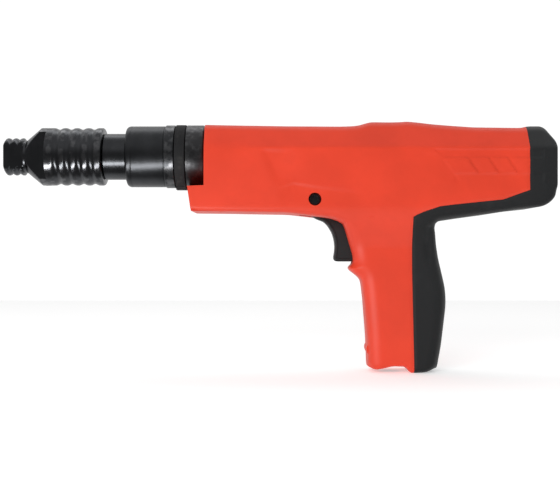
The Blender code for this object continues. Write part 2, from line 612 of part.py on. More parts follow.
def receiver_group(steel, satin, rubber):
    spigot = SLEEVE_FRONT_X + 8.0 * MM
    end = RECEIVER_REAR_X
    collar_start = RING_REAR_X + 0.2 * MM
    collar_end = HOUSING_FRONT_X - GAP
    receiver = turned("receiver", [
        (spigot, RECEIVER_BORE_RADIUS), (spigot, RECEIVER_RADIUS), (collar_start, RECEIVER_RADIUS),
        (collar_start, COLLAR_RADIUS), (collar_end, COLLAR_RADIUS), (collar_end, RECEIVER_RADIUS),
        (end, RECEIVER_RADIUS), (end, RECEIVER_BORE_RADIUS),
    ], satin)
    side = CHANNEL_HALF_WIDTH + GAP
    bottom = block("receiver_strip_slot", (CHANNEL_FRONT_X - GAP, -side, AXIS_HEIGHT - 30 * MM),
                   (BREECH_FACE_X, side, AXIS_HEIGHT))
    window = block("receiver_window", (BARREL_REAR_X + 1 * MM, -side, AXIS_HEIGHT - 1 * MM),
                   (BREECH_FACE_X, side, AXIS_HEIGHT + 30 * MM))
    pawl_x = SLEEVE_REAR_X + 1.3 * MM
    pawl_slot = block("receiver_pawl_slot", (pawl_x - GAP, -3.3 * MM, AXIS_HEIGHT - 30 * MM),
                      (pawl_x + 4 * MM + GAP, 3.3 * MM, AXIS_HEIGHT - 8 * MM))
    pin_hole = rod("receiver_pin_hole", -25 * MM, 25 * MM, 2.3 * MM, None, SMALL_STEPS,
                   (BREECH_PIN_X, 0, BREECH_PIN_Z), "Y")
    cut(receiver, bottom, window, pawl_slot, pin_hole)

    step = SLEEVE_REAR_X - 6.0 * MM
    turned("front_sleeve", [
        (SLEEVE_FRONT_X, RECEIVER_BORE_RADIUS), (SLEEVE_FRONT_X, SLEEVE_RADIUS - 1.6 * MM),
        (SLEEVE_FRONT_X + 0.8 * MM, SLEEVE_RADIUS - 0.6 * MM), (SLEEVE_FRONT_X + 4 * MM, SLEEVE_RADIUS),
        (step, SLEEVE_RADIUS), (step + 0.4 * MM, SLEEVE_RADIUS + 0.6 * MM),
        (SLEEVE_REAR_X, SLEEVE_RADIUS + 0.6 * MM), (SLEEVE_REAR_X, RECEIVER_RADIUS + GAP),
        (spigot - GAP, RECEIVER_RADIUS + GAP), (spigot - GAP, RECEIVER_BORE_RADIUS),
    ], steel)

    ring = tube("pawl_ring", SLEEVE_REAR_X + 0.3 * MM, RING_REAR_X, RING_RADIUS, RECEIVER_RADIUS + GAP, rubber)
    lug = block("ring_lug", (SLEEVE_REAR_X + 0.3 * MM, -5 * MM, AXIS_HEIGHT - RING_RADIUS - 0.9 * MM),
                (RING_REAR_X, 5 * MM, AXIS_HEIGHT - RING_RADIUS + 1.2 * MM))
    pocket = block("ring_pocket", (pawl_x - GAP, -3.3 * MM, AXIS_HEIGHT - RING_RADIUS + 0.8 * MM),
                   (pawl_x + 4 * MM + GAP, 3.3 * MM, AXIS_HEIGHT))
    cut(join(ring, lug), pocket)
    block("piston_pawl", (pawl_x, -3 * MM, AXIS_HEIGHT - RING_RADIUS + 1.2 * MM),
          (pawl_x + 4 * MM, 3 * MM, AXIS_HEIGHT - RECEIVER_BORE_RADIUS), steel)


def breech_group(steel, dark, rubber):
    face, rear = BREECH_FACE_X, BREECH_REAR_X
    bore = STRIKER_RADIUS + GAP
    front = 8 * MM
    breech = turned("breech_block", [
        (face, 1.8 * MM), (face, BREECH_RADIUS), (rear, BREECH_RADIUS), (rear, bore),
        (face + front, bore), (face + front, 1.8 * MM),
    ], steel)
    for side in (-1, 1):
        y0, y1 = side * 4 * MM, side * 7.5 * MM
        post = block(f"yoke_post_{side}", (SEAR_X + 2 * MM, y0, SEAR_Z - 2.4 * MM),
                     (SEAR_X + 9 * MM, y1, AXIS_HEIGHT - 8 * MM))
        hub = block(f"yoke_hub_{side}", (SEAR_X - 4.5 * MM, y0, SEAR_Z - 2.6 * MM),
                    (SEAR_X + 4 * MM, y1, SEAR_Z + 3.6 * MM))
        join(breech, post, hub)
    cut(breech,
        block("sear_slot", (SEAR_X - 17 * MM, -3.4 * MM, AXIS_HEIGHT - 20 * MM),
              (SEAR_X + 7 * MM, 3.4 * MM, AXIS_HEIGHT - 3.0 * MM)),
        rod("sear_pin_hole", -20 * MM, 20 * MM, 1.8 * MM, None, SMALL_STEPS, (SEAR_X, 0, SEAR_Z), "Y"),
        rod("breech_pin_hole", -25 * MM, 25 * MM, 2.3 * MM, None, SMALL_STEPS,
            (BREECH_PIN_X, 0, BREECH_PIN_Z), "Y"))
    rod("sear_pin", -7.8 * MM, 7.8 * MM, 1.5 * MM, dark, 12, (SEAR_X, 0, SEAR_Z), "Y")
    rod("breech_pin", -12 * MM, 12 * MM, 2.0 * MM, dark, 12, (BREECH_PIN_X, 0, BREECH_PIN_Z), "Y")

    body = face + 13.3 * MM
    notch = SEAR_X - 14 * MM
    notch_end = notch + STRIKER_NOTCH_LENGTH
    spring = rear - 22 * MM
    turned("firing_pin", [
        (face + 4 * MM, 0), (face + 4.4 * MM, 1.4 * MM), (body, 1.4 * MM), (body, STRIKER_RADIUS),
        (notch, STRIKER_RADIUS), (notch, 4.2 * MM), (notch_end, 4.2 * MM),
        (notch_end, STRIKER_RADIUS), (spring, STRIKER_RADIUS), (spring, 0),
    ], steel, 24)
    coil("firing_pin_spring", (spring + 1.2 * MM, 0, AXIS_HEIGHT), (rear - 5.2 * MM, 0, AXIS_HEIGHT),
         4.2 * MM, 0.7 * MM, 6, dark)
    plug = rear - 4 * MM
    turned("spring_plug", [
        (plug, 0), (plug, STRIKER_RADIUS), (rear + GAP, STRIKER_RADIUS), (rear + GAP, 9 * MM),
        (rear + 3 * MM, 9 * MM), (rear + 3 * MM, 0),
    ], dark, 24)
    turned("recoil_buffer", [
        (rear + 3.3 * MM, 0), (rear + 3.3 * MM, 10 * MM), (rear + 6 * MM, 12 * MM),
        (REAR_X - HOUSING_WALL - 3.5 * MM, 12 * MM), (REAR_X - HOUSING_WALL - 0.8 * MM, 10 * MM),
        (REAR_X - HOUSING_WALL - 0.8 * MM, 0),
    ], rubber, 24)


def strip_parts(steel, dark):
    x0, x1 = CHANNEL_FRONT_X - CHANNEL_WALL, CHANNEL_REAR_X + CHANNEL_WALL
    side = CHANNEL_HALF_WIDTH
    top = AXIS_HEIGHT - RECEIVER_RADIUS - 0.5 * MM
    guide = block("strip_guide", (x0, -side - CHANNEL_WALL, 4.6 * MM), (x1, side + CHANNEL_WALL, top), dark)
    hollow = block("strip_hollow", (CHANNEL_FRONT_X, -side, 0), (CHANNEL_REAR_X, side, top + OVERCUT))
    window = block("pawl_window", (CHANNEL_FRONT_X + 2.5 * MM, side - 1 * MM, 70 * MM),
                   (CHANNEL_REAR_X - 2.5 * MM, side + OVERCUT, 93 * MM))
    cut(guide, hollow, window)
    pawl_y = side + CHANNEL_WALL + GAP
    pawl = block("feed_pawl", (CHANNEL_FRONT_X + 0.5 * MM, pawl_y, 62 * MM),
                 (CHANNEL_REAR_X - 0.5 * MM, pawl_y + 2 * MM, 86 * MM), steel)
    join(pawl, block("pawl_tooth", (CHANNEL_FRONT_X + 3 * MM, side + 0.4 * MM, 73 * MM),
                     (CHANNEL_REAR_X - 3 * MM, pawl_y + 1 * MM, 80 * MM)))


# ---------------------------------------------------------------- trigger group


def trigger_group(black, steel):
    outline = [
        (-6.2, -2.5), (-4.6, -6.5), (-1.0, -9.8), (2.2, -11.6), (6.1, -12.9), (8.7, -15.5),
        (11.3, -19.8), (12.6, -24.1), (13.1, -28.5), (12.8, -32.4), (12.2, -35.2), (12.6, -36.9), (13.8, -37.7),
        (23.6, -37.7), (27.0, -35.0), (27.5, -22), (24, -11), (15.5, -4.5), (13.4, -0.4), (13.0, 6.0),
        (8.4, 6.0), (8.4, -0.3), (4.4, -0.6), (3.2, 4.6), (0, 6.2), (-4.6, 4.2),
    ]
    points = [(TRIGGER_X + x * MM, TRIGGER_Z + z * MM) for x, z in outline]
    trigger = plate("trigger", points, -TRIGGER_HALF_WIDTH, TRIGGER_HALF_WIDTH, black)
    cut(trigger, rod("trigger_hole", -20 * MM, 20 * MM, PIVOT_SCREW_RADIUS + GAP, None, SMALL_STEPS,
                     (TRIGGER_X, 0, TRIGGER_Z), "Y"))
    spring_z = TRIGGER_Z - 26 * MM
    coil("trigger_spring", (TRIGGER_X + 28.7 * MM, 0, spring_z),
         (CHANNEL_FRONT_X - CHANNEL_WALL - 1.0 * MM, 0, spring_z), 3 * MM, 0.6 * MM, 5, steel)

    bar_low, bar_high = TRIGGER_Z + 2.7 * MM, TRIGGER_Z + 6.2 * MM
    lug_x = TRIGGER_X + 5.6 * MM
    tail_x = SEAR_X - 1.6 * MM
    bar = block("trigger_bar", (lug_x, BAR_Y[0], bar_low), (tail_x + 2 * MM, BAR_Y[1], bar_high), steel)
    join(bar,
         block("bar_front_lug", (lug_x, -3 * MM, TRIGGER_Z + 1.7 * MM),
               (lug_x + 2 * MM, BAR_Y[1], TRIGGER_Z + 7.0 * MM)),
         block("bar_rear_lug", (tail_x, -2 * MM, SEAR_Z + 4.8 * MM),
               (tail_x + 2 * MM, BAR_Y[1], bar_high)))

    sear_outline = [
        (-3.2, -2.0), (0, -2.4), (3.2, -1.0), (3.2, 2.0), (1.0, 3.9), (-2.0, 4.4), (-2.0, 8.5), (-3.4, 14),
        (-8.8, 19), (-8.8, 24.1), (-11.4, 24.1), (-11.4, 17.6), (-7.6, 12.6), (-6.4, 3.0),
    ]
    points = [(SEAR_X + x * MM, SEAR_Z + z * MM) for x, z in sear_outline]
    sear = plate("sear", points, -3 * MM, 3 * MM, steel)
    cut(sear, rod("sear_hole", -20 * MM, 20 * MM, 1.8 * MM, None, SMALL_STEPS, (SEAR_X, 0, SEAR_Z), "Y"))


# ---------------------------------------------------------------- joints

# Each joint's place, and the pieces that it carries
CARRIERS = {
    "barrel_slide": ((NOSE_REAR_X, 0, AXIS_HEIGHT), ("nosepiece", "nose_detent", "barrel_tube", "piston_stop")),
    "piston_slide": ((BARREL_REAR_X, 0, AXIS_HEIGHT), ("piston", "piston_ring_1", "piston_ring_2")),
    "firing_pin_slide": ((BREECH_REAR_X, 0, AXIS_HEIGHT), ("firing_pin",)),
    "trigger_pull": ((TRIGGER_X, 0, TRIGGER_Z), ("trigger",)),
    "trigger_bar_slide": ((TRIGGER_X, sum(BAR_Y) / 2, TRIGGER_Z + 4.4 * MM), ("trigger_bar",)),
    "sear_turn": ((SEAR_X, 0, SEAR_Z), ("sear",)),
    "feed_pawl_slide": ((CHANNEL_FRONT_X + CHANNEL_LENGTH / 2, 0, 74 * MM), ("feed_pawl",)),
}


def carry():
    """Hang every moving piece on an empty that stands on its joint's axis, and keep it where it is."""
    for joint, (place, names) in CARRIERS.items():
        carrier = bpy.data.objects.new(joint + "_axis", None)
        carrier.location = place
        bpy.context.collection.objects.link(carrier)
        for name in names:
            piece = bpy.data.objects[name]
            piece.parent = carrier
            piece.matrix_parent_inverse = Matrix.Translation(place).inverted()


def main():
    for thing in list(bpy.data.objects):
        bpy.data.objects.remove(thing)
    red = finish("red_housing", (0.85, 0.085, 0.04), 0.45, 0.0)
    black = finish("black_plastic", (0.02, 0.021, 0.022), 0.5, 0.0)
    rubber = finish("black_rubber", (0.015, 0.015, 0.016), 0.85, 0.0)
    steel = finish("blackened_steel", (0.05, 0.05, 0.052), 0.35, 0.9)
    satin = finish("satin_steel", (0.14, 0.14, 0.145), 0.4, 1.0)
    bright = finish("bright_steel", (0.4, 0.4, 0.41), 0.35, 1.0)
    housing_half("housing_left", -1, red)
    housing_half("housing_right", 1, red)
    rear_guard(black)
    screws(steel)
    barrel_group(steel, rubber)
    receiver_group(steel, satin, rubber)
    breech_group(bright, steel, rubber)
    strip_parts(bright, steel)
    trigger_group(black, bright)
    carry()


main()
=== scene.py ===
"""A powder-actuated nail gun: red moulded housing, black rear guard and blackened steel front parts.

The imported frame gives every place. This script puts fine mouldings and turned parts round it, paints
every piece and lights it on a pale floor.
"""

import math

import bmesh
import bpy
import numpy as np
from bpy.props import FloatProperty, FloatVectorProperty, PointerProperty
from mathutils import Matrix, Vector


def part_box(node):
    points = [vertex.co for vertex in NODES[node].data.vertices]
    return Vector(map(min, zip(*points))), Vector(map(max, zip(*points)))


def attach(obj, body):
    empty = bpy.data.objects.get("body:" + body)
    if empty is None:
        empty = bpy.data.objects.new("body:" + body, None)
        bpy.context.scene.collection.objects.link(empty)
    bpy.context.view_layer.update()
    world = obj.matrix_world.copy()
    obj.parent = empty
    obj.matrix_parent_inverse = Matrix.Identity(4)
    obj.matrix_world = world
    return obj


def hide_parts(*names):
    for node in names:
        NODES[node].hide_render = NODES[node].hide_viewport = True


bl_info = {
    "name": "Nail Gun Maker",
    "version": (1, 0, 0),
    "blender": (4, 2, 0),
    "location": "View3D > Sidebar > Nail Gun",
    "description": "Builds the mouldings, turned parts, paint and stage of a nail gun",
    "category": "Object",
}

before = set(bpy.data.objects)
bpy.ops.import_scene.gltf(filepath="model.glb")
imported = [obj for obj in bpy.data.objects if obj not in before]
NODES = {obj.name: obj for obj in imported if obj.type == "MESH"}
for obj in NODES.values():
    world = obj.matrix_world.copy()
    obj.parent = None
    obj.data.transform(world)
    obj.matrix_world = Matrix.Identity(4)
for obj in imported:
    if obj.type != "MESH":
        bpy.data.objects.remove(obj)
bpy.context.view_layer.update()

MM = 0.001
GAP = 0.3


def box_mm(node):
    """A node's lowest and highest corners in mm."""
    low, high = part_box(node)
    return np.array(low) / MM, np.array(high) / MM


# ---------------------------------------------------------------- places, in mm

RING = box_mm("pawl_ring")
SLEEVE = box_mm("front_sleeve")
NOSE = box_mm("nosepiece")
BARREL = box_mm("barrel_tube")
GUARD = box_mm("rear_guard")
RECEIVER = box_mm("receiver")
BREECH = box_mm("breech_block")

AXIS = float(BARREL[0][2] + BARREL[1][2]) / 2
FRONT = float(RING[1][0]) + 12.0
LENGTH = float(GUARD[1][0]) - FRONT
HALF_WIDTH = float(GUARD[1][1])
GRIP_HALF_WIDTH = 15.5
WALL = 2.0
FRONT_WALL = 3.0
EDGE_RADIUS = 4.0
NOSE_EDGE_RADIUS = 1.8
END_RADIUS = 2.0
RIM_RADIUS = 0.7
GRIP_RADIUS = 9.0
BASE_RADIUS = 3.5
FACET_SLOPE = 0.67
CREASE = 3.7
LEDGE = -19.3
LIP_REACH = 10.0
LIP_SLANT = 0.15
LIP_BLEND = 16.0
BARREL_BORE_RADIUS = 9.3
BARREL_RADIUS = 14.3
SPIGOT_RADIUS = 12.0
CHAMBER_RADIUS = 3.5
MUZZLE_BORE_RADIUS = 5.0
BORE_RADIUS = 14.6
RECEIVER_RADIUS = 16.3
SLEEVE_RADIUS = 18.9
COLLAR_RADIUS = 19.5
NOSE_RADIUS = float(NOSE[1][1] - NOSE[0][1]) / 2
RING_RADIUS = 19.7
PIVOT = (67.0, -27.5)
TRIGGER_HALF_WIDTH = float(box_mm("trigger")[1][1])
BIG_STEPS = 120
SHARP_ANGLE = 32

# Outline of the moulding: mm behind the housing's front, mm above the barrel axis
TOP_LINE = [
    (-20, 18.8), (0, 18.8), (22, 18.3), (51, 17.8), (84, 17.6), (91, 17.9), (95, 18.5), (98.4, 19.7),
    (102, 20.6), (113, 20.4), (120.4, 20.6), (124, 21.0), (131.4, 20.2), (138.7, 19.2), (149.7, 18.2),
    (164.3, 17.1), (193.6, 16.7), (197.2, 17.8), (207, 17.8), (213.5, 8.0),
]
UNDER_FRONT = [
    (-20, -33.3), (-8.2, -34.0), (0, -34.5), (51, -35.5), (66, -37.3), (76.4, -38.5), (81.1, -40.1),
    (84.6, -42.2),
]
GRIP_FRONT = [
    (84.6, -42.2), (85.9, -45.2), (88.4, -53.9), (90.8, -61.6), (90.9, -66.5), (88.2, -68.7),
    (89.1, -70.7), (93.0, -73.5), (95.7, -76.1), (96.5, -78.6), (97.7, -88.6), (99.5, -111.7),
    (100.2, -129.8),
]
GRIP_BASE = [
    (100.2, -129.8), (104.1, -131.6), (110.1, -130.4), (115.3, -129.2), (122.7, -129.5),
    (125.5, -133.3), (128.6, -133.3), (135.3, -132.9), (141.1, -130.7), (142.6, -131.0),
]
GRIP_BACK = [
    (142.6, -131.0), (145.2, -116.6), (148.0, -93.3), (148.1, -87.2), (147.5, -80.7), (145.7, -72.9),
    (143.5, -63.6), (141.0, -47.5), (140.2, -44.6), (140.6, -42.2),
]
UNDER_REAR = [
    (140.6, -42.2), (142.0, -40.6), (145.8, -39.9), (158.3, -38.0), (173.6, -35.9), (188.9, -33.5),
    (204.5, -31.8), (209.0, -29.5), (212.5, -25.8), (213.5, -21.3),
]
# Where the red shells meet the black guard, from the top down to the grip's base
PARTING_LINE = [
    (196.3, 40), (196.3, -22.0), (180.4, -27.7), (151.7, -30.7), (142.5, -31.8), (138, -33.3),
    (132.9, -35.0), (128.5, -36.9), (126.4, -38.2), (126.4, -70), (127.8, -131), (127.8, -145),
]
SEAM = -42.2
GRIP_END = -123.0
SCREWS = {
    "housing_screw_1": (16.5, -28.5), "housing_screw_2": (100.5, -34.0),
    "housing_screw_3": (103.6, -119.0), "housing_screw_4": (183.5, -20.6),
    "guard_screw_1": (135.5, -121.0), "guard_screw_2": (LENGTH - 11.0, -21.0),
}
HEAD_RADIUS = 2.9
SHANK_RADIUS = 1.9
HEAD_SINK = 3.4
BOSS_RADIUS = 4.5
PIVOT_SHANK_RADIUS = 2.5
PIVOT_HEAD_RADIUS = 3.6
PIVOT_BOSS_RADIUS = 4.8
PIVOT_SINK = 4.5


# ---------------------------------------------------------------- sizes and colours a user may change


class HousingProperties(bpy.types.PropertyGroup):
    """Sizes and colours of the mouldings."""

    step: FloatProperty(name="Surface step", description="Longest side of a cell on the mouldings, in mm",
                        default=0.75, min=0.4, max=4.0)
    relief: FloatProperty(name="Relief", description="Depth of the creases and louvres, as a share",
                          default=1.0, min=0.0, max=2.0)
    red: FloatVectorProperty(name="Red", description="Colour of the shells", subtype="COLOR",
                             default=(0.76, 0.056, 0.024), min=0, max=1)
    black: FloatVectorProperty(name="Black", description="Colour of the guard and the trigger",
                               subtype="COLOR", default=(0.018, 0.019, 0.020), min=0, max=1)


class MetalProperties(bpy.types.PropertyGroup):
    """Colours of the metal and the rubber."""

    blackened: FloatVectorProperty(name="Blackened steel", description="Colour of the blackened steel",
                                   subtype="COLOR", default=(0.085, 0.088, 0.094), min=0, max=1)
    satin: FloatVectorProperty(name="Satin steel", description="Colour of the satin steel",
                               subtype="COLOR", default=(0.24, 0.24, 0.25), min=0, max=1)
    rubber: FloatVectorProperty(name="Rubber", description="Colour of the rubber ring",
                                subtype="COLOR", default=(0.014, 0.014, 0.015), min=0, max=1)


class StageProperties(bpy.types.PropertyGroup):
    """The floor, the lights and the camera."""

    distance: FloatProperty(name="Camera distance", description="From the camera to the middle plane",
                            default=0.62, unit="LENGTH", min=0.2, max=5)
    height: FloatProperty(name="Camera height", description="Height of the level camera", default=0.074,
                          unit="LENGTH", min=0, max=2)
    lens: FloatProperty(name="Lens", description="Focal length in mm", default=63.9, min=20, max=200)
    floor: FloatVectorProperty(name="Floor", description="Colour of the floor", subtype="COLOR",
                               default=(0.86, 0.86, 0.86), min=0, max=1)
    key: FloatProperty(name="Key light", description="Power of the key light in watts", default=8.5,
                       min=0, max=500)
    top: FloatProperty(name="Top light", description="Power of the overhead light in watts", default=1.0,
                       min=0, max=500)
    back: FloatProperty(name="Backdrop", description="Brightness of the room behind the object",
                        default=0.75, min=0, max=10)
    streak: FloatProperty(name="Streak light", description="Power of the low strip in front, in watts",
                          default=0.30, min=0, max=50)
    glow: FloatProperty(name="Floor glow", description="How strongly the floor is lit from below",
                        default=0.42, min=0, max=10)


# ---------------------------------------------------------------- mesh tools


def smooth(value, low, high):
    """A smooth step: 0 up to low, 1 from high on, and 3t^2 - 2t^3 between them."""
    t = np.clip((value - low) / (high - low), 0, 1)
    return t * t * (3 - 2 * t)


def soften(line, reach, rounds=2):
    """Cut the corners of an open line: each inner point becomes two, a short way along its two sides."""
    points = np.asarray(line, float)
    for _ in range(rounds):
        side = np.diff(points, axis=0)
        length = np.hypot(*side.T)[:, None]
        share = np.minimum(0.25, reach / length)
        near = points[:-1] + side * share
        far = points[1:] - side * share
        middle = np.stack([far[:-1], near[1:]], 1).reshape(-1, 2)
        points = np.vstack([points[:1], middle, points[-1:]])
        reach = reach / 2
    return points


def line_distance(x, z, line):
    """Distance from each point to the nearest segment of an open line."""
    best = np.full(np.shape(x), 1e9)
    for (ax, az), (bx, bz) in zip(line, line[1:]):
        dx, dz = bx - ax, bz - az
        t = np.clip(((x - ax) * dx + (z - az) * dz) / (dx * dx + dz * dz), 0, 1)
        best = np.minimum(best, np.hypot(x - ax - t * dx, z - az - t * dz))
    return best


def rounding(distance, radius):
    """How far a quarter circle of this radius falls away at a distance from the edge."""
    d = np.clip(distance, 0, radius)
    return radius - np.sqrt(np.maximum(radius**2 - (radius - d) ** 2, 0))


def refine(values, step):
    """Split each interval into equal parts no longer than step."""
    values = np.asarray(values, float)
    parts = np.maximum(np.ceil(np.abs(np.diff(values)) / step - 1e-6).astype(int), 1)
    index = np.concatenate([[0], np.cumsum(parts)])
    return np.interp(np.arange(index[-1] + 1), index, values)


def quads(numbers, closed=False):
    """Quads between neighbours of a two-way table of point numbers, round its second way if closed."""
    if closed:
        numbers = np.concatenate([numbers, numbers[:, :1]], axis=1)
    a, b = numbers[:-1, :-1], numbers[:-1, 1:]
    c, d = numbers[1:, 1:], numbers[1:, :-1]
    return np.stack([a, b, c, d], -1).reshape(-1, 4)


def mesh_object(name, points, faces, outward=True):
    """An object from points in mm and quads, with its doubles merged and its faces turned outwards."""
    mesh = bpy.data.meshes.new(name)
    mesh.from_pydata((points * MM).tolist(), [], faces.tolist())
    bm = bmesh.new()
    bm.from_mesh(mesh)
    bmesh.ops.remove_doubles(bm, verts=bm.verts, dist=2e-6)
    bmesh.ops.dissolve_degenerate(bm, dist=1e-7, edges=bm.edges)
    bmesh.ops.recalc_face_normals(bm, faces=bm.faces)
    if (bm.calc_volume(signed=True) < 0) == outward:
        bmesh.ops.reverse_faces(bm, faces=bm.faces)
    bm.to_mesh(mesh)
    bm.free()
    return add(name, mesh)


def add(name, data):
    """An object in the scene that shows this mesh, light or camera."""
    thing = bpy.data.objects.new(name, data)
    bpy.context.scene.collection.objects.link(thing)
    return thing


def lathe(name, profile, steps=BIG_STEPS, axis="X", centre=(0, 0, AXIS), shape=None, hollow=True):
    """A closed turned piece: a profile of (along, radius) points in mm carried round an axis.

    A point is the centre plus along on the axis plus radius times (sin, cos) of the angle across it. A
    shape function may change the two coordinates across the axis. A hollow piece's profile is a loop.
    """
    profile = np.asarray(profile, float)
    if hollow:
        profile = np.vstack([profile, profile[:1]])
    angle = np.linspace(0, math.tau, steps, endpoint=False)
    across = profile[:, 1:] * np.sin(angle)
    up = profile[:, 1:] * np.cos(angle)
    along = np.broadcast_to(profile[:, :1], across.shape)
    if shape:
        across, up = shape(along, across, up)
    order = {"X": (along, across, up), "Y": (across, along, up), "Z": (across, up, along)}
    points = np.stack(order[axis], -1).reshape(-1, 3) + np.asarray(centre, float)
    numbers = np.arange(len(points)).reshape(across.shape)
    return mesh_object(name, points, quads(numbers, closed=True))


def rod(name, a, b, radius, axis="X", centre=(0, 0, AXIS), steps=32):
    """A plain round bar between two places on its axis, closed to a point at each end's middle."""
    profile = [(a, 0), (a, radius), (b, radius), (b, 0)]
    return lathe(name, profile, steps, axis, centre, hollow=False)


def slab(name, outline, y0, y1):
    """A flat plate: an outline of (x, z) points in mm at y0 and again at y1, with a wall between them."""
    bm = bmesh.new()
    face = bm.faces.new([bm.verts.new((x * MM, y0 * MM, z * MM)) for x, z in outline])
    grown = bmesh.ops.extrude_face_region(bm, geom=[face])["geom"]
    moved = [v for v in grown if isinstance(v, bmesh.types.BMVert)]
    bmesh.ops.translate(bm, vec=(0, (y1 - y0) * MM, 0), verts=moved)
    bmesh.ops.recalc_face_normals(bm, faces=bm.faces)
    mesh = bpy.data.meshes.new(name)
    bm.to_mesh(mesh)
    bm.free()
    return add(name, mesh)


def brick(name, low, high):
    """A plain box between two corners in mm."""
    (x0, y0, z0), (x1, y1, z1) = low, high
    return slab(name, [(x0, z0), (x1, z0), (x1, z1), (x0, z1)], y0, y1)


def carve(thing, operation, *tools):
    """Apply one exact Boolean with tools that stand clear of each other, then delete the tools."""
    bm = bmesh.new()
    for tool in tools:
        bm.from_mesh(tool.data)
    cutter = bpy.data.meshes.new("cutter")
    bm.to_mesh(cutter)
    bm.free()
    for tool in tools[1:]:
        bpy.data.meshes.remove(tool.data)
    tool = tools[0]
    bpy.data.meshes.remove(swap(tool, cutter))
    modifier = thing.modifiers.new("carve", "BOOLEAN")
    modifier.operation = operation
    modifier.solver = "EXACT"
    modifier.object = tool
    graph = bpy.context.evaluated_depsgraph_get()
    mesh = bpy.data.meshes.new_from_object(thing.evaluated_get(graph))
    if not mesh.polygons:
        raise RuntimeError(f"carving {thing.name} left nothing")
    thing.modifiers.clear()
    bpy.data.meshes.remove(swap(thing, mesh))
    bpy.data.meshes.remove(cutter)
    mesh.name = thing.name


def swap(thing, mesh):
    """Give an object another mesh, and give back the old one."""
    old = thing.data
    thing.data = mesh
    return old


def finish_piece(thing, material, body, nodes):
    """Smooth a piece's shading, paint it, and tell the frame what it rides on and stands for."""
    mesh = thing.data
    mesh.materials.clear()
    mesh.materials.append(material)
    mesh.polygons.foreach_set("material_index", np.zeros(len(mesh.polygons), dtype=np.int32))
    mesh.shade_smooth()
    mesh.set_sharp_from_angle(angle=math.radians(SHARP_ANGLE))
    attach(thing, body)
    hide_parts(*nodes)


# ---------------------------------------------------------------- the moulding's surface

TOP = soften(TOP_LINE, 1.6)
UNDER_A = soften(UNDER_FRONT, 1.6)
FRONT_EDGE = soften(GRIP_FRONT, 1.2)
BASE = soften(GRIP_BASE, 1.0)
BACK_EDGE = soften(GRIP_BACK, 1.6)
UNDER_B = soften(UNDER_REAR, 1.2)
# The outline's rounded edge: the grip's two edges run on below its base, which has an edge of its own
OUTLINE = np.vstack([UNDER_A, FRONT_EDGE[1:], FRONT_EDGE[-1:] - (0, 20), BACK_EDGE[:1] - (0, 20), BACK_EDGE,
                     UNDER_B[1:]])


def on(line, x):
    """Height of a line that runs rearwards, at each x."""
    return np.interp(x, line[:, 0], line[:, 1])


def beside(line, z):
    """Place of an upright line at each height."""
    order = np.argsort(line[:, 1])
    return np.interp(z, line[order, 1], line[order, 0])


def lip(z, ledge):
    """How far the front edge stands ahead below the ledge, slanting back towards the bottom."""
    return np.where(z < ledge, -LIP_REACH - (z - ledge) * LIP_SLANT, 0)


def relief(x, z):
    """Depth of the creases, louvres and seams at points in mm, as sums of smooth steps across lines."""
    # A soft fold that runs down and back behind the front part
    fold = x - np.interp(-z, [-3.1, 18.5], [35.2, 44.8])
    depth = 0.75 * smooth(fold, -3.5, 2.5) * (1 - smooth(fold, 3.5, 24))
    depth = depth * smooth(z, -21, -14) * (1 - smooth(z, 0, 4))
    # A crease below it that fades towards the grip, with the surface set in under it
    crease = np.interp(x, [44, 46.6, 54.2, 70, 89.2, 97], [-21, -20, -17.6, -20, -22.4, -23.3])
    strength = np.interp(x, [44.5, 53, 58, 70, 89, 98], [0, 1, 0.95, 0.6, 0.35, 0])
    under = crease - z
    depth = depth + 0.85 * strength * smooth(under, -0.6, 1.6) * (1 - smooth(under, 3, 12))
    # The rear panel: a recessed band, a raised field with three louvres, and the step under it
    left = np.interp(-z, [-5.5, 0.5, 16.7], [134.2, 142.0, 154.1])
    inside = smooth(x - left, -0.6, 1.0)
    fades = 1 - smooth(x, 204.0, 205.2)
    band = smooth(3.0 - z, 0, 1.0) * (1 - smooth(-2.0 - z, 0, 1.1)) * inside
    depth = depth + 0.5 * band * fades
    below = smooth(-11.7 - z, 0, 1.1) * (1 - smooth(-14 - z, 0, 9)) * smooth(x, 149.5, 152.5)
    depth = depth + 0.45 * below * fades
    shoulder = (1 - smooth(x - left, -0.8, 1.2)) * smooth(x - left, -16, -3)
    depth = depth + 0.3 * shoulder * smooth(z, -19, -14) * (1 - smooth(z, -2.5, 2))
    for edge in (156.9, 169.2, 180.6):
        side = x - (edge - (z + 0.8) * 0.66)
        ramp = np.clip((side + 4.2) / 4.2, 0, 1) * (1 - smooth(side, 0, 1.1))
        dip = smooth(side, 0, 1.1) * (1 - smooth(side, 1.4, 6.5))
        field = smooth(-2.2 - z, 0, 1.2) * (1 - smooth(-11.2 - z, 0, 1.2))
        depth = depth + (0.42 * dip - 0.25 * ramp) * field
    # The cap's rear facet and its small raised key
    depth = depth + 0.16 * np.clip(x - 205.0, 0, 6) * smooth(z, -34, -24)
    key = smooth(x, 203.4, 204.2) * (1 - smooth(x, 205.6, 206.4))
    key = key * smooth(z, -18, -17) * (1 - smooth(z, -13, -12))
    depth = depth - 0.35 * key
    # The hollow behind the backstrap's ridge
    hollow = np.exp(-(((x - 136.6) / 2.2) ** 2)) * smooth(z, -70, -58) * (1 - smooth(z, -45, -41))
    depth = depth + 1.5 * hollow
    # Both sides of the parting line roll down into it
    depth = depth + 0.4 * (1 - smooth(line_distance(x, z, PARTING_LINE), 0.1, 1.7))
    return depth


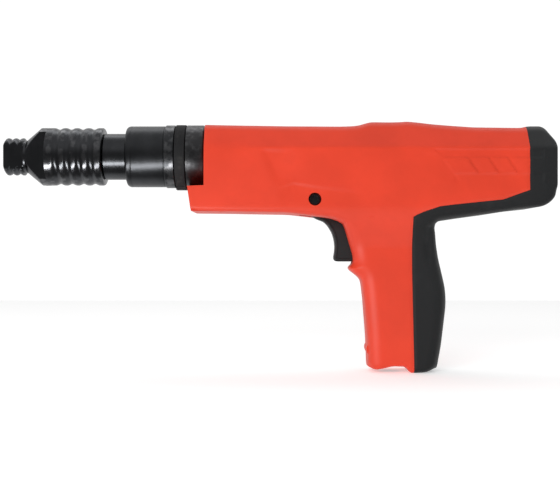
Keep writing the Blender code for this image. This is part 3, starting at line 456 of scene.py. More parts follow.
def half_width(x, z, inset, scale):
    """Half the moulding's width, drawn in by inset all round and by scale times the relief.

    It is a wide box above and a narrower grip below, less a sloping facet above the crease, less the
    quarter circles that round its edges.
    """
    above = z - CREASE
    bend = 0.5 + 4.0 * (1 - smooth(x, 12, 34))
    facet = (above + np.sqrt(above**2 + bend**2)) / 2 - 0.12
    wide = HALF_WIDTH - np.maximum(facet, 0) * FACET_SLOPE
    share = smooth(z, -58, -31)
    flat = GRIP_HALF_WIDTH + (wide - GRIP_HALF_WIDTH) * share
    radius = GRIP_RADIUS + (EDGE_RADIUS - GRIP_RADIUS) * share
    radius = radius - (EDGE_RADIUS - NOSE_EDGE_RADIUS) * share * (1 - smooth(x, 30, 75))
    fall = rounding(on(TOP, x) - z - inset, EDGE_RADIUS - inset)
    fall = fall + rounding(line_distance(x, z, OUTLINE) - inset, radius - inset)
    fall = fall + rounding(line_distance(x, z, BASE) - inset, BASE_RADIUS - inset)
    fall = fall + rounding(LENGTH - x - inset, END_RADIUS - inset)
    if inset:
        return np.maximum(flat - inset - fall, 0.5)
    fall = fall + rounding(x - lip(z, LEDGE), RIM_RADIUS)
    return np.maximum(flat - fall - relief(x, z) * scale, 0.5)


def quarter(radius, count):
    """Distances from an edge for even turns of a quarter circle: radius times (1 - cos)."""
    return radius * (1 - np.cos(np.linspace(0, math.pi / 2, count + 1)))


def side_tables(wall, step):
    """The moulding's side as two tables of (x, z), the body and the grip below it, that share a row."""
    f0, b0 = float(beside(FRONT_EDGE, SEAM)), float(beside(BACK_EDGE, SEAM))
    edge = quarter(GRIP_RADIUS, 10)
    across = f0 + np.concatenate([edge, refine([GRIP_RADIUS, b0 - f0 - GRIP_RADIUS], step)[1:-1],
                                  b0 - f0 - edge[::-1]])
    share = (across - f0) / (b0 - f0)
    ahead = np.concatenate([quarter(RIM_RADIUS, 4), refine([RIM_RADIUS, f0], step)[1:-1]])
    rear = LENGTH - quarter(EDGE_RADIUS, 8)[::-1]
    behind = np.concatenate([refine([b0, LENGTH - EDGE_RADIUS], step)[1:-1], rear])
    x = np.concatenate([ahead, across, behind])
    top = on(TOP, x)
    low = np.where(x < f0 - 1e-6, on(UNDER_A, x), np.where(x > b0 + 1e-6, on(UNDER_B, x), SEAM))
    x = np.interp(x, [0, f0, b0, LENGTH], [FRONT_WALL if wall else 0, f0 + wall, b0 - wall, LENGTH - wall])
    top, low = top - wall, low + np.where(low == SEAM, 0, wall)
    ledge = LEDGE - wall
    wanted = np.array([ledge - 0.2, ledge + 0.2, -8, CREASE, 11.5])
    order = np.arange(len(wanted))
    levels = np.clip(wanted, low[:, None] + 4.5 + 0.5 * order, top[:, None] - 4.5 - 0.5 * order[::-1])
    knots = np.column_stack([low + EDGE_RADIUS, levels, top - EDGE_RADIUS])
    parts = np.array([12 / step, 1, 11 / step, 12 / step, 8, 4]).round().astype(int)
    index = np.concatenate([[0], np.cumsum(parts)])
    weights = np.array([np.interp(np.arange(index[-1] + 1), index, row) for row in np.eye(len(index))])
    edge = quarter(EDGE_RADIUS, 7)
    z = np.hstack([low[:, None] + edge[:-1], knots @ weights, top[:, None] - edge[-2::-1]])
    body_x = np.repeat(x[:, None], z.shape[1], axis=1)
    body_x = body_x + lip(z, ledge) * np.clip((LIP_BLEND - body_x) / LIP_BLEND, 0, 1)

    levels = refine([SEAM, -66.5, -70.7, GRIP_END], step)
    front, back = beside(FRONT_EDGE, levels) + wall, beside(BACK_EDGE, levels) - wall
    grip_x = front[:, None] + (back - front)[:, None] * share
    grip_z = np.repeat(levels[:, None], len(share), axis=1)
    down = np.sin(np.linspace(0, math.pi / 2, 14))[1:, None]
    base_x = BASE[0, 0] + wall + (BASE[-1, 0] - BASE[0, 0] - 2 * wall) * share
    base_z = on(BASE, base_x) + wall
    grip_x = np.vstack([grip_x, grip_x[-1] + (base_x - grip_x[-1]) * down])
    grip_z = np.vstack([grip_z, GRIP_END + (base_z - GRIP_END) * down])
    return (body_x, z), (grip_x, grip_z), len(ahead)


def side_sheet(wall, step, scale):
    """Points (x, half-width, z) of the moulding's side in world mm, its quads, and its rim in order."""
    body, grip, first = side_tables(wall, step)
    points = [np.stack([FRONT + x, half_width(x, z, wall, scale), AXIS + z], -1) for x, z in (body, grip)]
    b = np.arange(body[0].size).reshape(body[0].shape)
    g = b.size + np.arange(grip[0].size).reshape(grip[0].shape)
    last = first + grip[0].shape[1] - 1
    rim = np.concatenate([
        b[first::-1, 0], b[0, 1:], b[1:, -1], b[-1, -2::-1], b[-2:last - 1:-1, 0],
        g[1:, -1], g[-1, -2::-1], g[-2:0:-1, 0],
    ])
    points = np.vstack([p.reshape(-1, 3) for p in points])
    return points, np.vstack([quads(b), quads(g)]), rim


def half_shell(name, side, step, scale):
    """One shell half: outer and inner side sheets whose rims run to the middle plane and meet there."""
    points, faces, loops, count = [], [], [], 0
    for wall in (0.0, WALL):
        sheet, cells, rim = side_sheet(wall, step, scale)
        middle = sheet[rim] * (1, 0, 1) + (0, GAP / 2, 0)
        points += [sheet, middle]
        faces.append(cells + count)
        loops.append([rim + count, count + len(sheet) + np.arange(len(rim))])
        count += len(sheet) + len(rim)
    (outer, outer_middle), (inner, inner_middle) = loops
    faces.append(quads(np.stack([outer, outer_middle, inner_middle, inner]), closed=True))
    return mesh_object(name, np.vstack(points) * (1, side, 1), np.vstack(faces))


def whole_skin(name, wall, step, scale):
    """Both side sheets with their rims joined across the middle plane: a closed skin."""
    sheet, cells, rim = side_sheet(wall, step, scale)
    middle = sheet[rim] * (1, 0, 1)
    count = len(sheet)
    points = np.vstack([sheet, sheet * (1, -1, 1), middle])
    belt = np.stack([rim, 2 * count + np.arange(len(rim)), rim + count])
    faces = np.vstack([cells, cells + count, quads(belt, closed=True)])
    return mesh_object(name, points, faces, outward=not wall)


def guard_block(name, shift):
    """The region that the black guard takes, its front line moved by shift."""
    line = [(FRONT + x + shift, AXIS + z - shift) for x, z in PARTING_LINE]
    far = FRONT + LENGTH + 20
    return slab(name, line + [(far, line[-1][1]), (far, line[0][1])], -HALF_WIDTH - 10, HALF_WIDTH + 10)


def face_at(x, z):
    """Half-width of the plain moulding at one place."""
    return float(half_width(np.array([x]), np.array([z]), 0.0, 0.0)[0])


def boss_reach(x, z):
    """How far from the middle a screw boss may run: 1 mm inside the lowest skin round its rim."""
    return min(face_at(x + BOSS_RADIUS, z), face_at(x - BOSS_RADIUS, z)) - 1


def screw_hole(name, x, z):
    """A stepped cutter for a sunk screw put in from the right side."""
    face = face_at(x, z)
    seat = face - HEAD_SINK
    wide, head = SHANK_RADIUS + GAP, HEAD_RADIUS + GAP
    profile = [(4 - face, 0), (4 - face, wide), (seat, wide), (seat, head), (face + 5, head), (face + 5, 0)]
    return lathe(name, profile, 48, "Y", (FRONT + x, 0, AXIS + z), hollow=False)


def cross_bar(name, x, z, y0, y1, radius):
    """A round bar across the tool at a place in mm."""
    return rod(name, y0, y1, radius, "Y", (FRONT + x, 0, AXIS + z))


# ---------------------------------------------------------------- paint


class Link:
    """A shader socket. Sums, differences and products of links make Math nodes."""

    def __init__(self, paint, socket):
        self.paint = paint
        self.socket = socket

    def maths(self, operation, first, second):
        return self.paint.node("ShaderNodeMath", {"operation": operation}, {0: first, 1: second})

    def __add__(self, other):
        return self.maths("ADD", self, other)

    def __sub__(self, other):
        return self.maths("SUBTRACT", self, other)

    def __rsub__(self, other):
        return self.maths("SUBTRACT", other, self)

    def __mul__(self, other):
        return self.maths("MULTIPLY", self, other)

    __radd__ = __add__
    __rmul__ = __mul__


SOCKETS = {"base_color": "Base Color", "roughness": "Roughness", "metallic": "Metallic",
           "normal": "Normal", "specular": "Specular IOR Level", "glow_colour": "Emission Color",
           "glow": "Emission Strength"}


class Paint:
    """A Principled material that is written with links."""

    def __init__(self, name, **constants):
        self.material = bpy.data.materials.new(name)
        self.material.use_nodes = True
        self.tree = self.material.node_tree
        self.shader = self.tree.nodes["Principled BSDF"]
        for key, value in constants.items():
            self.shader.inputs[SOCKETS[key]].default_value = value
        self.place = self.node("ShaderNodeTexCoord", output="Object")

    def node(self, kind, settings=None, sockets=None, output=0):
        """Make a node: its settings first, then the values or links of its sockets. Gives one output."""
        made = self.tree.nodes.new(kind)
        for key, value in (settings or {}).items():
            setattr(made, key, value)
        for key, value in (sockets or {}).items():
            self.put(made.inputs[key], value)
        return Link(self, made.outputs[output])

    def put(self, socket, value):
        """Link a socket to a link, or set its own value."""
        if isinstance(value, Link):
            self.tree.links.new(value.socket, socket)
        else:
            socket.default_value = value

    def feed(self, **sockets):
        """Feed sockets of the shader."""
        for key, value in sockets.items():
            self.put(self.shader.inputs[SOCKETS[key]], value)
        return self.material

    def noise(self, scale, detail, vector=None):
        """Soft noise with scale cells to the metre."""
        return self.node("ShaderNodeTexNoise", None,
                         {"Vector": vector or self.place, "Scale": scale, "Detail": detail})

    def step(self, value, low, high):
        """A smooth step from 0 at low to 1 at high."""
        return self.node("ShaderNodeMapRange", {"interpolation_type": "SMOOTHSTEP"},
                         {"Value": value, "From Min": low, "From Max": high})

    def mix(self, factor, first, second):
        """A colour between two colours."""
        pair = [(*c, 1) if isinstance(c, tuple) else c for c in (first, second)]
        return self.node("ShaderNodeMix", {"data_type": "RGBA"}, {0: factor, 6: pair[0], 7: pair[1]}, 2)

    def bump(self, height, distance, strength):
        """A normal that leans as if the surface rose by height times distance."""
        return self.node("ShaderNodeBump", None, {
            "Height": height, "Distance": distance, "Strength": strength})

    def stretched(self, scale):
        """Object coordinates with each axis scaled on its own."""
        return self.node("ShaderNodeVectorMath", {"operation": "MULTIPLY"}, {0: self.place, 1: scale})

    def axis_radius(self):
        """Distance from the barrel axis: the length of the place with its x taken away."""
        flat = self.node("ShaderNodeVectorMath", {"operation": "SUBTRACT"},
                         {0: self.place, 1: (0, 0, AXIS * MM)})
        flat = self.node("ShaderNodeVectorMath", {"operation": "MULTIPLY"}, {0: flat, 1: (0, 1, 1)})
        return self.node("ShaderNodeVectorMath", {"operation": "LENGTH"}, {0: flat}, "Value")


def scaled(colour, factor):
    """A colour with its parts multiplied."""
    return tuple(min(part * factor, 1.0) for part in colour)


def moulded_red(colour):
    """Red glass-filled nylon: fine spark-eroded grain, slight flow marks and handling smudges."""
    paint = Paint("red_moulded_plastic", specular=0.35)
    grain = paint.noise(2600, 3)
    flow = paint.noise(38, 3)
    smudge = paint.step(paint.noise(75, 4), 0.56, 0.74)
    tone = paint.mix(paint.step(flow, 0.3, 0.7), scaled(colour, 0.95), scaled(colour, 1.05))
    tone = paint.mix(smudge * 0.12, tone, scaled(colour, 0.72))
    rough = 0.43 + (grain - 0.5) * 0.12 + smudge * 0.07
    return paint.feed(base_color=tone, roughness=rough, normal=paint.bump(grain, 0.00003, 0.55))


def moulded_black(colour):
    """Black nylon with a coarser matt grain and paler rubbed spots."""
    paint = Paint("black_moulded_plastic", specular=0.5)
    grain = paint.noise(1500, 4)
    rubbed = paint.step(paint.noise(60, 5), 0.55, 0.75)
    tone = paint.mix(rubbed * 0.5, colour, scaled(colour, 1.6))
    rough = 0.50 + (grain - 0.5) * 0.2 - rubbed * 0.06
    return paint.feed(base_color=tone, roughness=rough, normal=paint.bump(grain, 0.00005, 0.6))


def ring_rubber(colour):
    """Dull rubber with dust in its grain."""
    paint = Paint("ring_rubber", specular=0.35)
    grain = paint.noise(1100, 4)
    dust = paint.step(paint.noise(240, 5), 0.52, 0.7)
    tone = paint.mix(dust * 0.35, colour, (0.06, 0.058, 0.055))
    return paint.feed(base_color=tone, roughness=0.74 + dust * 0.12, normal=paint.bump(grain, 0.00005, 0.7))


def turned_steel(name, colour, rough, marks, crest):
    """Turned steel: fine rings along the axis, stains, and bright rubbed metal beyond the crest radius."""
    paint = Paint(name, metallic=1.0)
    rings = paint.noise(1.0, 2, paint.stretched((3800, 60, 60)))
    stain = paint.noise(120, 5)
    rubbed = paint.step(paint.noise(420, 4) * 0.0006 + paint.axis_radius(), crest * MM, (crest + 0.35) * MM)
    wear = rubbed * paint.step(paint.noise(260, 4), 0.42, 0.62)
    tone = paint.mix(paint.step(stain, 0.35, 0.7), scaled(colour, 0.9), scaled(colour, 1.1))
    tone = paint.mix(wear * 0.35, tone, (0.30, 0.30, 0.31))
    roughness = rough + (rings - 0.5) * marks + (stain - 0.5) * 0.08 - wear * 0.05
    return paint.feed(base_color=tone, roughness=roughness, normal=paint.bump(rings, 0.000012, 0.5))


def plain_steel(name, colour, rough):
    """Machined steel for pins, screws and works: soft stains, fine scratches and oil."""
    paint = Paint(name, metallic=1.0)
    scratch = paint.noise(1.0, 2, paint.stretched((400, 2600, 2600)))
    stain = paint.step(paint.noise(180, 4), 0.4, 0.7)
    tone = paint.mix(stain, scaled(colour, 0.75), scaled(colour, 1.15))
    return paint.feed(base_color=tone, roughness=rough + (scratch - 0.5) * 0.15 + stain * 0.06,
                      normal=paint.bump(scratch, 0.00001, 0.4))


MATERIALS = {}


def finishes():
    """Every material by name, made once."""
    if not MATERIALS:
        house = bpy.context.scene.nail_gun_housing
        metal = bpy.context.scene.nail_gun_metal
        black, satin = tuple(metal.blackened), tuple(metal.satin)
        MATERIALS.update({
            "red": moulded_red(tuple(house.red)),
            "black": moulded_black(tuple(house.black)),
            "rubber": ring_rubber(tuple(metal.rubber)),
            "nose": turned_steel("nose_steel", black, 0.23, 0.10, 17.75),
            "barrel": turned_steel("barrel_steel", scaled(black, 0.9), 0.25, 0.08, 14.6),
            "sleeve": turned_steel("sleeve_steel", scaled(black, 0.8), 0.33, 0.12, 19.45),
            "receiver": turned_steel("receiver_steel", scaled(satin, 0.36), 0.36, 0.2, 19.6),
            "screw": plain_steel("screw_steel", black, 0.32),
            "works": plain_steel("works_steel", satin, 0.34),
            "spring": plain_steel("spring_steel", (0.36, 0.36, 0.37), 0.28),
        })
    return MATERIALS


# ---------------------------------------------------------------- operators


class NAILGUN_OT_housing(bpy.types.Operator):
    """Build the two red shell halves with their creases, louvres and openings"""

    bl_idname = "nailgun.housing"
    bl_label = "Red Housing"

    def execute(self, context):
        props = context.scene.nail_gun_housing
        slot = TRIGGER_HALF_WIDTH + 0.5
        channel = box_mm("strip_guide")
        screws = {k: v for k, v in SCREWS.items() if k.startswith("housing")}
        pivot_face = face_at(*PIVOT)
        centre = (FRONT + PIVOT[0], 0, AXIS + PIVOT[1])
        for name, side in (("housing_left", -1), ("housing_right", 1)):
            half = half_shell(f"{name}_shell", side, props.step, props.relief)
            bosses = [cross_bar("boss", x, z, side * GAP, side * boss_reach(x, z), BOSS_RADIUS)
                      for x, z in screws.values()]
            bosses.append(cross_bar("pivot_boss", *PIVOT, side * (slot + GAP), side * (pivot_face - 1),
                                    PIVOT_BOSS_RADIUS))
            carve(half, "DIFFERENCE", guard_block("guard_cut", -0.06))
            carve(half, "UNION", *bosses)
            seat, wide = pivot_face - PIVOT_SINK, PIVOT_SHANK_RADIUS + GAP
            head = PIVOT_HEAD_RADIUS + GAP
            end = pivot_face + 5
            hole = [(0, 0), (0, wide), (seat, wide), (seat, head), (end, head), (end, 0)]
            slot_outline = [(58, -33), (58, -42), (80, -67), (86, -67), (93.5, -66), (94, -44), (90, -33)]
            for a, b, radius in ((FRONT - 5, RECEIVER[1][0] + GAP, RECEIVER_RADIUS + GAP),
                                 (RING[1][0] - 5, FRONT + GAP, RING_RADIUS + GAP)):
                carve(half, "DIFFERENCE", rod("seat", a, b, radius, steps=BIG_STEPS))
            carve(
                half, "DIFFERENCE",
                slab("trigger_slot", [(FRONT + x, AXIS + z) for x, z in slot_outline], -slot, slot),
                brick("strip_mouth", (channel[0][0] - GAP, channel[0][1] - GAP, -5),
                      (channel[1][0] + GAP, channel[1][1] + GAP, 12)),
                brick("strip_exit", (FRONT + 103, -6.3, AXIS + 14), (FRONT + 120.5, 6.3, AXIS + 28)),
                lathe("pivot_hole", [(side * a, r) for a, r in hole], 48, "Y", centre, hollow=False),
                *[screw_hole("screw_hole", x, z) for x, z in screws.values()],
            )
            finish_piece(half, finishes()["red"], "frame", [name])
        return {"FINISHED"}


class NAILGUN_OT_guard(bpy.types.Operator):
    """Build the black cap, underside strip and backstrap in one moulding"""

    bl_idname = "nailgun.guard"
    bl_label = "Black Rear Guard"

    def execute(self, context):
        props = context.scene.nail_gun_housing
        guard = whole_skin("guard_moulding", 0.0, props.step, props.relief)
        cavity = whole_skin("guard_cavity", WALL, props.step * 2, 0.0)
        cavity.data.flip_normals()
        carve(guard, "INTERSECT", guard_block("guard_keep", 0.0))
        carve(guard, "DIFFERENCE", cavity)
        places = [v for k, v in SCREWS.items() if k.startswith("guard")]
        carve(guard, "UNION", *[cross_bar("boss", x, z, 1 - face_at(x, z), face_at(x, z) - 1, BOSS_RADIUS)
                                for x, z in places])
        carve(guard, "DIFFERENCE", *[screw_hole("screw_hole", x, z) for x, z in places])
        finish_piece(guard, finishes()["black"], "frame", ["rear_guard"])
        return {"FINISHED"}


TIP_FLAT_END = 12.5
SIDE_FLAT = (14.0, 27.0)


def nose_radius(along):
    """Radius of the nosepiece at distances behind the muzzle.

    Three round ribs are the root of a raised cosine on the tip. A straight cone follows the neck. Four
    waves of a cosine are sunk into the collar, and its rear end is rounded off.
    """
    rib_pitch, rib_height, groove_pitch, groove_depth = 4.5, 1.25, 7.15, 1.0
    neck, neck_start, neck_end, cone_start, cone_length = 10.15, 11.6, 13.2, 13.6, 9.4
    end_length, end_depth = 1.3, 1.1
    rib = np.cos(math.tau * (along - 1.9) / rib_pitch) * 0.5 + 0.5
    tip = 10.35 + rib_height * np.sqrt(np.clip(rib, 0, 1))
    tip = np.where(along < 0.9, np.minimum(tip, 10.2 + along * 1.2), tip)
    cone = neck + (NOSE_RADIUS - neck) * np.clip((along - cone_start) / cone_length, 0, 1)
    radius = np.where(along < 12.4, tip, cone)
    radius = np.where((along > neck_start) & (along < neck_end), neck, radius)
    wave = np.cos(math.tau * (along - 33.8) / groove_pitch) * 0.5 + 0.5
    collar = smooth(along, 29.6, 30.4) * (1 - smooth(along, 58.6, 59.4))
    radius = radius - groove_depth * collar * wave**1.4
    past = np.clip(along - float(NOSE[1][0] - NOSE[0][0]) + end_length, 0, end_length) / end_length
    return radius - end_depth * (1 - np.sqrt(np.clip(1 - past**2, 0, 1)))


def nose_flats(lengthwise, across, up):
    """Flatten both sides: the coordinate across is held within the half-width of each flat."""
    along = lengthwise - NOSE[0][0]
    tip_half, side_half = 8.0, 10.5
    limit = np.where(along < TIP_FLAT_END, tip_half, NOSE_RADIUS)
    limit = np.where((along > SIDE_FLAT[0]) & (along < SIDE_FLAT[1]), side_half, limit)
    return np.clip(across, -limit, limit), up


class NAILGUN_OT_nose(bpy.types.Operator):
    """Turn the nosepiece with its ribs, cone, grooves and flats, and the barrel tube behind it"""

    bl_idname = "nailgun.nose"
    bl_label = "Nosepiece and Barrel"

    def execute(self, context):
        front, rear = NOSE[0][0], NOSE[1][0]
        length = rear - front
        steps = np.add.outer((TIP_FLAT_END, *SIDE_FLAT), (-0.05, 0.05)).ravel()
        along = np.unique(np.concatenate([np.arange(0, length, 0.22), steps, [length]]))
        skin = np.column_stack([front + along, nose_radius(along)])
        socket, bore = rear - 22.3, SPIGOT_RADIUS + GAP
        inside = [(rear, bore + 0.5), (rear - 0.5, bore), (socket, bore), (socket, MUZZLE_BORE_RADIUS),
                  (front + 0.6, MUZZLE_BORE_RADIUS), (front, MUZZLE_BORE_RADIUS + 0.6)]
        nose = lathe("nosepiece_turned", np.vstack([skin, inside]), BIG_STEPS, shape=nose_flats)
        detent = box_mm("nose_detent")
        centre = (detent[0] + detent[1]) / 2
        carve(nose, "DIFFERENCE", rod("detent_hole", -8, 5.5, 2.0, "Z", centre))
        finish_piece(nose, finishes()["nose"], "barrel", ["nosepiece"])

        front, rear = BARREL[0][0], BARREL[1][0]
        step = NOSE[1][0] + GAP
        spigot, outer, chamber_end = SPIGOT_RADIUS, BARREL_RADIUS, rear - 9
        tube = lathe("barrel_turned", [
            (front, BARREL_BORE_RADIUS), (front, spigot - 0.4), (front + 0.4, spigot), (step, spigot),
            (step, outer - 0.4), (step + 0.4, outer), (rear - 1, outer), (rear, outer - 1),
            (rear, CHAMBER_RADIUS), (chamber_end, CHAMBER_RADIUS), (chamber_end, BARREL_BORE_RADIUS)])
        finish_piece(tube, finishes()["barrel"], "barrel", ["barrel_tube"])
        return {"FINISHED"}


def ring_shape(lengthwise, across, up):
    """Square the ring's lowest part into a lug: where it is narrow enough, its height is held level."""
    low = -RING_RADIUS - 0.9
    lug = (np.abs(across) < 5.2) & (up < -18.0)
    return across, np.where(lug, low, up)


class NAILGUN_OT_front(bpy.types.Operator):
    """Turn the front sleeve and the receiver, and mould the rubber ring between them"""

    bl_idname = "nailgun.front"
    bl_label = "Sleeve, Ring and Receiver"

    def execute(self, context):
        made = finishes()
        front, rear = SLEEVE[0][0], SLEEVE[1][0]
        spigot = RECEIVER[0][0] - GAP
        step = rear - 6.0
        bore = RECEIVER_RADIUS + GAP
        turn = np.linspace(0, math.pi / 2, 9)
        long, tall = 2.6, 1.7
        outer, collar = SLEEVE_RADIUS, COLLAR_RADIUS
        nose = np.column_stack([front + long - long * np.cos(turn), outer - tall + tall * np.sin(turn)])
        sleeve = lathe("sleeve_turned", np.vstack([
            [(front, BORE_RADIUS + 0.4)], nose,
            [(front + 3.6, outer), (front + 4.0, outer - 0.15), (front + 4.4, outer), (step - 0.7, outer),
             (step - 0.5, outer - 0.2), (step - 0.1, outer - 0.2), (step + 0.1, collar - 0.2),
             (step + 0.4, collar), (rear - 0.4, collar), (rear, collar - 0.4), (rear, bore),
             (spigot, bore), (spigot, BORE_RADIUS), (front + 0.4, BORE_RADIUS)]]))
        finish_piece(sleeve, made["sleeve"], "frame", ["front_sleeve"])

        front, rear = RING[0][0], RING[1][0]
        edge = 0.5 * (1 - np.cos(turn))
        outer = RING_RADIUS - 0.6 + 0.6 * np.sin(turn)
        ring = lathe("ring_moulded", np.vstack([
            [(front, bore)], np.column_stack([front + edge, outer]),
            np.column_stack([rear - edge[::-1], outer[::-1]]), [(rear, bore)]]), 180, shape=ring_shape)
        pawl = box_mm("piston_pawl")
        low, high = pawl[0] - GAP, pawl[1] + GAP
        carve(ring, "DIFFERENCE", brick("pocket", (*low[:2], low[2] - 0.1), (*high[:2], AXIS)))
        finish_piece(ring, made["rubber"], "frame", ["pawl_ring"])

        front, rear = RECEIVER[0][0], RECEIVER[1][0]
        start, end = RING[1][0] + 0.2, FRONT - GAP
        receiver = lathe("receiver_turned", [
            (front, BORE_RADIUS), (front, RECEIVER_RADIUS), (start, RECEIVER_RADIUS),
            (start, COLLAR_RADIUS - 0.4), (start + 0.4, COLLAR_RADIUS), (end - 1.2, COLLAR_RADIUS),
            (end, COLLAR_RADIUS - 0.6), (end, RECEIVER_RADIUS), (rear, RECEIVER_RADIUS),
            (rear, BORE_RADIUS)])
        side, face = 4.8, BREECH[0][0]
        carve(
            receiver, "DIFFERENCE",
            brick("strip_slot", (face - 10.8, -side, AXIS - 30), (face, side, AXIS)),
            brick("window", (BARREL[1][0] + 1, -side, AXIS - 1), (face, side, AXIS + 30)),
            brick("pawl_slot", (low[0], low[1], AXIS - 30), (high[0], high[1], AXIS - 8)),
            rod("pin_hole", -25, 25, 2.3, "Y", (face + 14, 0, AXIS + 10.2)))
        finish_piece(receiver, made["receiver"], "frame", ["receiver"])
        return {"FINISHED"}


TRIGGER_OUTLINE = [
    (-6.2, -2.5), (-4.6, -6.5), (-1.0, -9.8), (2.2, -11.6), (6.1, -12.9), (8.7, -15.5), (11.3, -19.8),
    (12.6, -24.1), (13.1, -28.5), (12.8, -32.4), (12.2, -35.2), (12.6, -36.9), (13.8, -37.7), (23.6, -37.7),
    (27.0, -35.0), (27.5, -22), (24, -11), (15.5, -4.5), (13.4, -0.4), (13.0, 6.0), (8.4, 6.0),
    (8.4, -0.3), (4.4, -0.6), (3.2, 4.6), (0, 6.2), (-4.6, 4.2),
]


def closed_path(outline, step):
    """A closed outline with its corners cut, and even steps along it."""
    line = np.asarray(list(outline) + [outline[0]], float)
    for _ in range(2):
        a, b = line[:-1], line[1:]
        share = np.minimum(0.25, 0.7 / np.hypot(*(b - a).T))[:, None]
        cut = np.stack([a + (b - a) * share, b - (b - a) * share], 1).reshape(-1, 2)
        line = np.vstack([cut, cut[:1]])
    travel = np.concatenate([[0], np.cumsum(np.hypot(*np.diff(line, axis=0).T))])
    even = np.linspace(0, travel[-1], int(travel[-1] / step), endpoint=False)
    return np.column_stack([np.interp(even, travel, line[:, 0]), np.interp(even, travel, line[:, 1])])


class NAILGUN_OT_trigger(bpy.types.Operator):
    """Mould the trigger with a rounded, raised rim"""

    bl_idname = "nailgun.trigger"
    bl_label = "Trigger"

    def execute(self, context):
        half = TRIGGER_HALF_WIDTH
        path = closed_path(TRIGGER_OUTLINE, 0.8) + (FRONT + PIVOT[0], AXIS + PIVOT[1])
        trigger = slab("trigger_moulded", path.tolist(), -half, half)
        bm = bmesh.new()
        bm.from_mesh(trigger.data)
        sides = [f for f in bm.faces if abs(f.normal.y) > 0.9]
        walls = [e for e in bm.edges if any(f in sides for f in e.link_faces)]
        bmesh.ops.bevel(bm, geom=walls, offset=0.8 * MM, segments=4, profile=0.5, affect="EDGES")
        sides = [f for f in bm.faces if abs(f.normal.y) > 0.99 and len(f.verts) > 20]
        bmesh.ops.inset_region(bm, faces=sides, thickness=0.8 * MM, depth=0)
        bmesh.ops.inset_region(bm, faces=sides, thickness=0.3 * MM, depth=-0.45 * MM)
        bm.to_mesh(trigger.data)
        bm.free()
        centre = (FRONT + PIVOT[0], 0, AXIS + PIVOT[1])
        carve(trigger, "DIFFERENCE", rod("pivot_hole", -20, 20, 2.8, "Y", centre))
        finish_piece(trigger, finishes()["black"], "trigger", ["trigger"])
        return {"FINISHED"}


def hexagon(radius, angle):
    """Distance to the side of a hexagon with this inner radius, at each angle."""
    sector = math.tau / 6
    return radius / np.cos(np.mod(angle, sector) - sector / 2)


def screw(name, x, z, seat, top, tip, shank, head, socket, deep, node):
    """A socket screw across the tool: a turned shank and head, with a six-sided socket in its top.

    Each row of the surface is a ring at one place along y. The socket's rings take a hexagon's radius.
    """
    sign = 1 if top > seat else -1
    rows = [(tip, 0), (tip, shank - 0.3), (tip + 0.4 * sign, shank), (seat, shank), (seat, head),
            (top - 0.35 * sign, head), (top - 0.1 * sign, head - 0.12), (top, head - 0.4)]
    angle = np.linspace(0, math.tau, 48, endpoint=False)
    ring = [np.full(48, r) for _, r in rows]
    six = hexagon(socket, angle)
    ring += [six + 0.15, six, six * 0.98, np.zeros(48)]
    along = [a for a, _ in rows] + [top, top - 0.15 * sign, top - deep * sign, top - (deep + 0.3) * sign]
    radius, along = np.array(ring), np.array(along)[:, None] + np.zeros(48)
    points = np.stack([FRONT + x + radius * np.sin(angle), along, AXIS + z + radius * np.cos(angle)], -1)
    numbers = np.arange(radius.size).reshape(radius.shape)
    thing = mesh_object(name, points.reshape(-1, 3), quads(numbers, closed=True))
    finish_piece(thing, finishes()["screw"], "frame", [node])


class NAILGUN_OT_screws(bpy.types.Operator):
    """Make the socket screws of the housing and the guard, and the trigger's pivot screw"""

    bl_idname = "nailgun.screws"
    bl_label = "Screws"

    def execute(self, context):
        for node, (x, z) in SCREWS.items():
            low, high = box_mm(node)
            seat = high[1] - 2.6
            screw(f"{node}_turned", x, z, seat, high[1], low[1], SHANK_RADIUS, HEAD_RADIUS, 1.5, 1.6, node)
        low, high = box_mm("trigger_screw")
        screw("trigger_screw_turned", *PIVOT, low[1] + 3.5, low[1] + 1.7, high[1], PIVOT_SHANK_RADIUS,
              PIVOT_HEAD_RADIUS, 2.0, 1.4, "trigger_screw")
        return {"FINISHED"}


KEPT = {
    "works": ["breech_block", "strip_guide", "firing_pin", "trigger_bar", "sear"],
    "screw": ["piston_pawl", "nose_detent", "spring_plug", "piston", "piston_ring_1", "piston_ring_2",
              "sear_pin", "breech_pin", "feed_pawl", "trigger_nut"],
    "rubber": ["recoil_buffer", "piston_stop"],
    "spring": ["firing_pin_spring", "trigger_spring"],
}


class NAILGUN_OT_works(bpy.types.Operator):
    """Paint the works inside, which keep the shapes of the frame"""

    bl_idname = "nailgun.works"
    bl_label = "Works"

    def execute(self, context):
        for finish, names in KEPT.items():
            for name in names:
                mesh = NODES[name].data
                mesh.materials.clear()
                mesh.materials.append(finishes()[finish])
        return {"FINISHED"}


def area_light(name, place, target, size, power, glossy):
    """A soft rectangular light that looks at a target. Only gloss may see it, and only if asked."""
    data = bpy.data.lights.new(name, "AREA")
    data.shape = "RECTANGLE"
    data.size, data.size_y = size
    data.energy = power
    lamp = add(name, data)
    aim = Vector(target) - Vector(place)
    lamp.matrix_world = Matrix.Translation(place) @ aim.to_track_quat("-Z", "Y").to_matrix().to_4x4()
    lamp.visible_camera = False
    lamp.visible_glossy = glossy
    return lamp


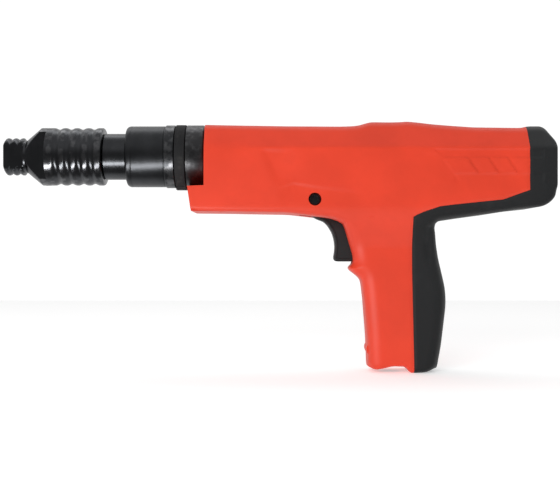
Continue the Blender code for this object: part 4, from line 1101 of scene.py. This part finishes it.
class NAILGUN_OT_stage(bpy.types.Operator):
    """Lay the pale floor, light the room and set the camera"""

    bl_idname = "nailgun.stage"
    bl_label = "Stage"

    def execute(self, context):
        props = context.scene.nail_gun_stage
        mesh = bpy.data.meshes.new("floor")
        corners = [(-1.2, -0.5), (1.2, -0.5), (1.2, 0.9), (-1.2, 0.9)]
        mesh.from_pydata([(x, y, 0) for x, y in corners], [], [(0, 1, 2, 3)])
        floor = add("floor", mesh)
        paint = Paint("pale_floor", roughness=0.9, specular=0.1, glow_colour=(1, 1, 1, 1), glow=props.glow)
        colour = tuple(props.floor)
        mesh.materials.append(paint.feed(base_color=(*colour, 1)))
        floor.visible_glossy = False

        world = bpy.data.worlds.new("studio")
        context.scene.world = world
        world.use_nodes = True
        tree = world.node_tree
        back = tree.nodes["Background"]
        path = tree.nodes.new("ShaderNodeLightPath")
        spot = tree.nodes.new("ShaderNodeTexCoord")
        split = tree.nodes.new("ShaderNodeSeparateXYZ")
        rise = tree.nodes.new("ShaderNodeMapRange")
        rise.interpolation_type = "SMOOTHSTEP"
        behind = tree.nodes.new("ShaderNodeMapRange")
        behind.interpolation_type = "SMOOTHSTEP"
        for node, ends in ((rise, (0.10, 0.70, 0.13, 0.42)), (behind, (-0.05, 0.35, 0.0, 1.0))):
            for socket, value in zip(("From Min", "From Max", "To Min", "To Max"), ends):
                node.inputs[socket].default_value = value
        room = tree.nodes.new("ShaderNodeMix")
        room.inputs["B"].default_value = props.back
        choose = tree.nodes.new("ShaderNodeMix")
        choose.inputs["B"].default_value = 1.05
        tree.links.new(spot.outputs["Generated"], split.inputs[0])
        tree.links.new(split.outputs["Z"], rise.inputs["Value"])
        tree.links.new(split.outputs["Y"], behind.inputs["Value"])
        tree.links.new(behind.outputs[0], room.inputs["Factor"])
        tree.links.new(rise.outputs[0], room.inputs["A"])
        tree.links.new(path.outputs["Is Camera Ray"], choose.inputs["Factor"])
        tree.links.new(room.outputs[0], choose.inputs["A"])
        tree.links.new(choose.outputs[0], back.inputs["Strength"])
        back.inputs["Color"].default_value = (1, 1, 1, 1)

        target = (0, 0, 0.09)
        area_light("key_light", (-0.35, -1.1, 0.42), target, (0.6, 0.5), props.key, False)
        streak = area_light("streak_light", (-0.135, -0.15, 0.012), (-0.06, 0, AXIS * MM), (0.2, 0.045),
                            props.streak, True)
        streak.visible_diffuse = False
        area_light("top_light", (0.05, 0.35, 0.9), target, (1.2, 0.3), props.top, True)

        data = bpy.data.cameras.new("camera")
        data.lens = props.lens
        data.sensor_width = 36.0
        camera = add("camera", data)
        camera.location = (0.0015, -props.distance, props.height)
        camera.rotation_euler = (math.pi / 2, 0, 0)
        context.scene.camera = camera
        context.scene.view_settings.view_transform = "Standard"
        return {"FINISHED"}


OPERATORS = (NAILGUN_OT_housing, NAILGUN_OT_guard, NAILGUN_OT_nose, NAILGUN_OT_front, NAILGUN_OT_trigger,
             NAILGUN_OT_screws, NAILGUN_OT_works, NAILGUN_OT_stage)
GROUPS = {"nail_gun_housing": HousingProperties, "nail_gun_metal": MetalProperties,
          "nail_gun_stage": StageProperties}


class NAILGUN_PT_panel(bpy.types.Panel):
    """Lists the sizes, the colours and the operators"""

    bl_idname = "NAILGUN_PT_panel"
    bl_label = "Nail Gun"
    bl_space_type = "VIEW_3D"
    bl_region_type = "UI"
    bl_category = "Nail Gun"

    def draw(self, context):
        for group, kind in GROUPS.items():
            for prop in kind.__annotations__:
                self.layout.prop(getattr(context.scene, group), prop)
        for operator in OPERATORS:
            self.layout.operator(operator.bl_idname)


def register():
    for kind in (*GROUPS.values(), *OPERATORS, NAILGUN_PT_panel):
        bpy.utils.register_class(kind)
    for name, kind in GROUPS.items():
        setattr(bpy.types.Scene, name, PointerProperty(type=kind))


def unregister():
    for name in GROUPS:
        delattr(bpy.types.Scene, name)
    for kind in (NAILGUN_PT_panel, *reversed(OPERATORS), *GROUPS.values()):
        bpy.utils.unregister_class(kind)


def main():
    """Build every piece in order."""
    register()
    for operator in OPERATORS:
        getattr(bpy.ops.nailgun, operator.bl_idname.split(".")[1])()
    bpy.context.view_layer.update()


if __name__ == "__main__":
    main()
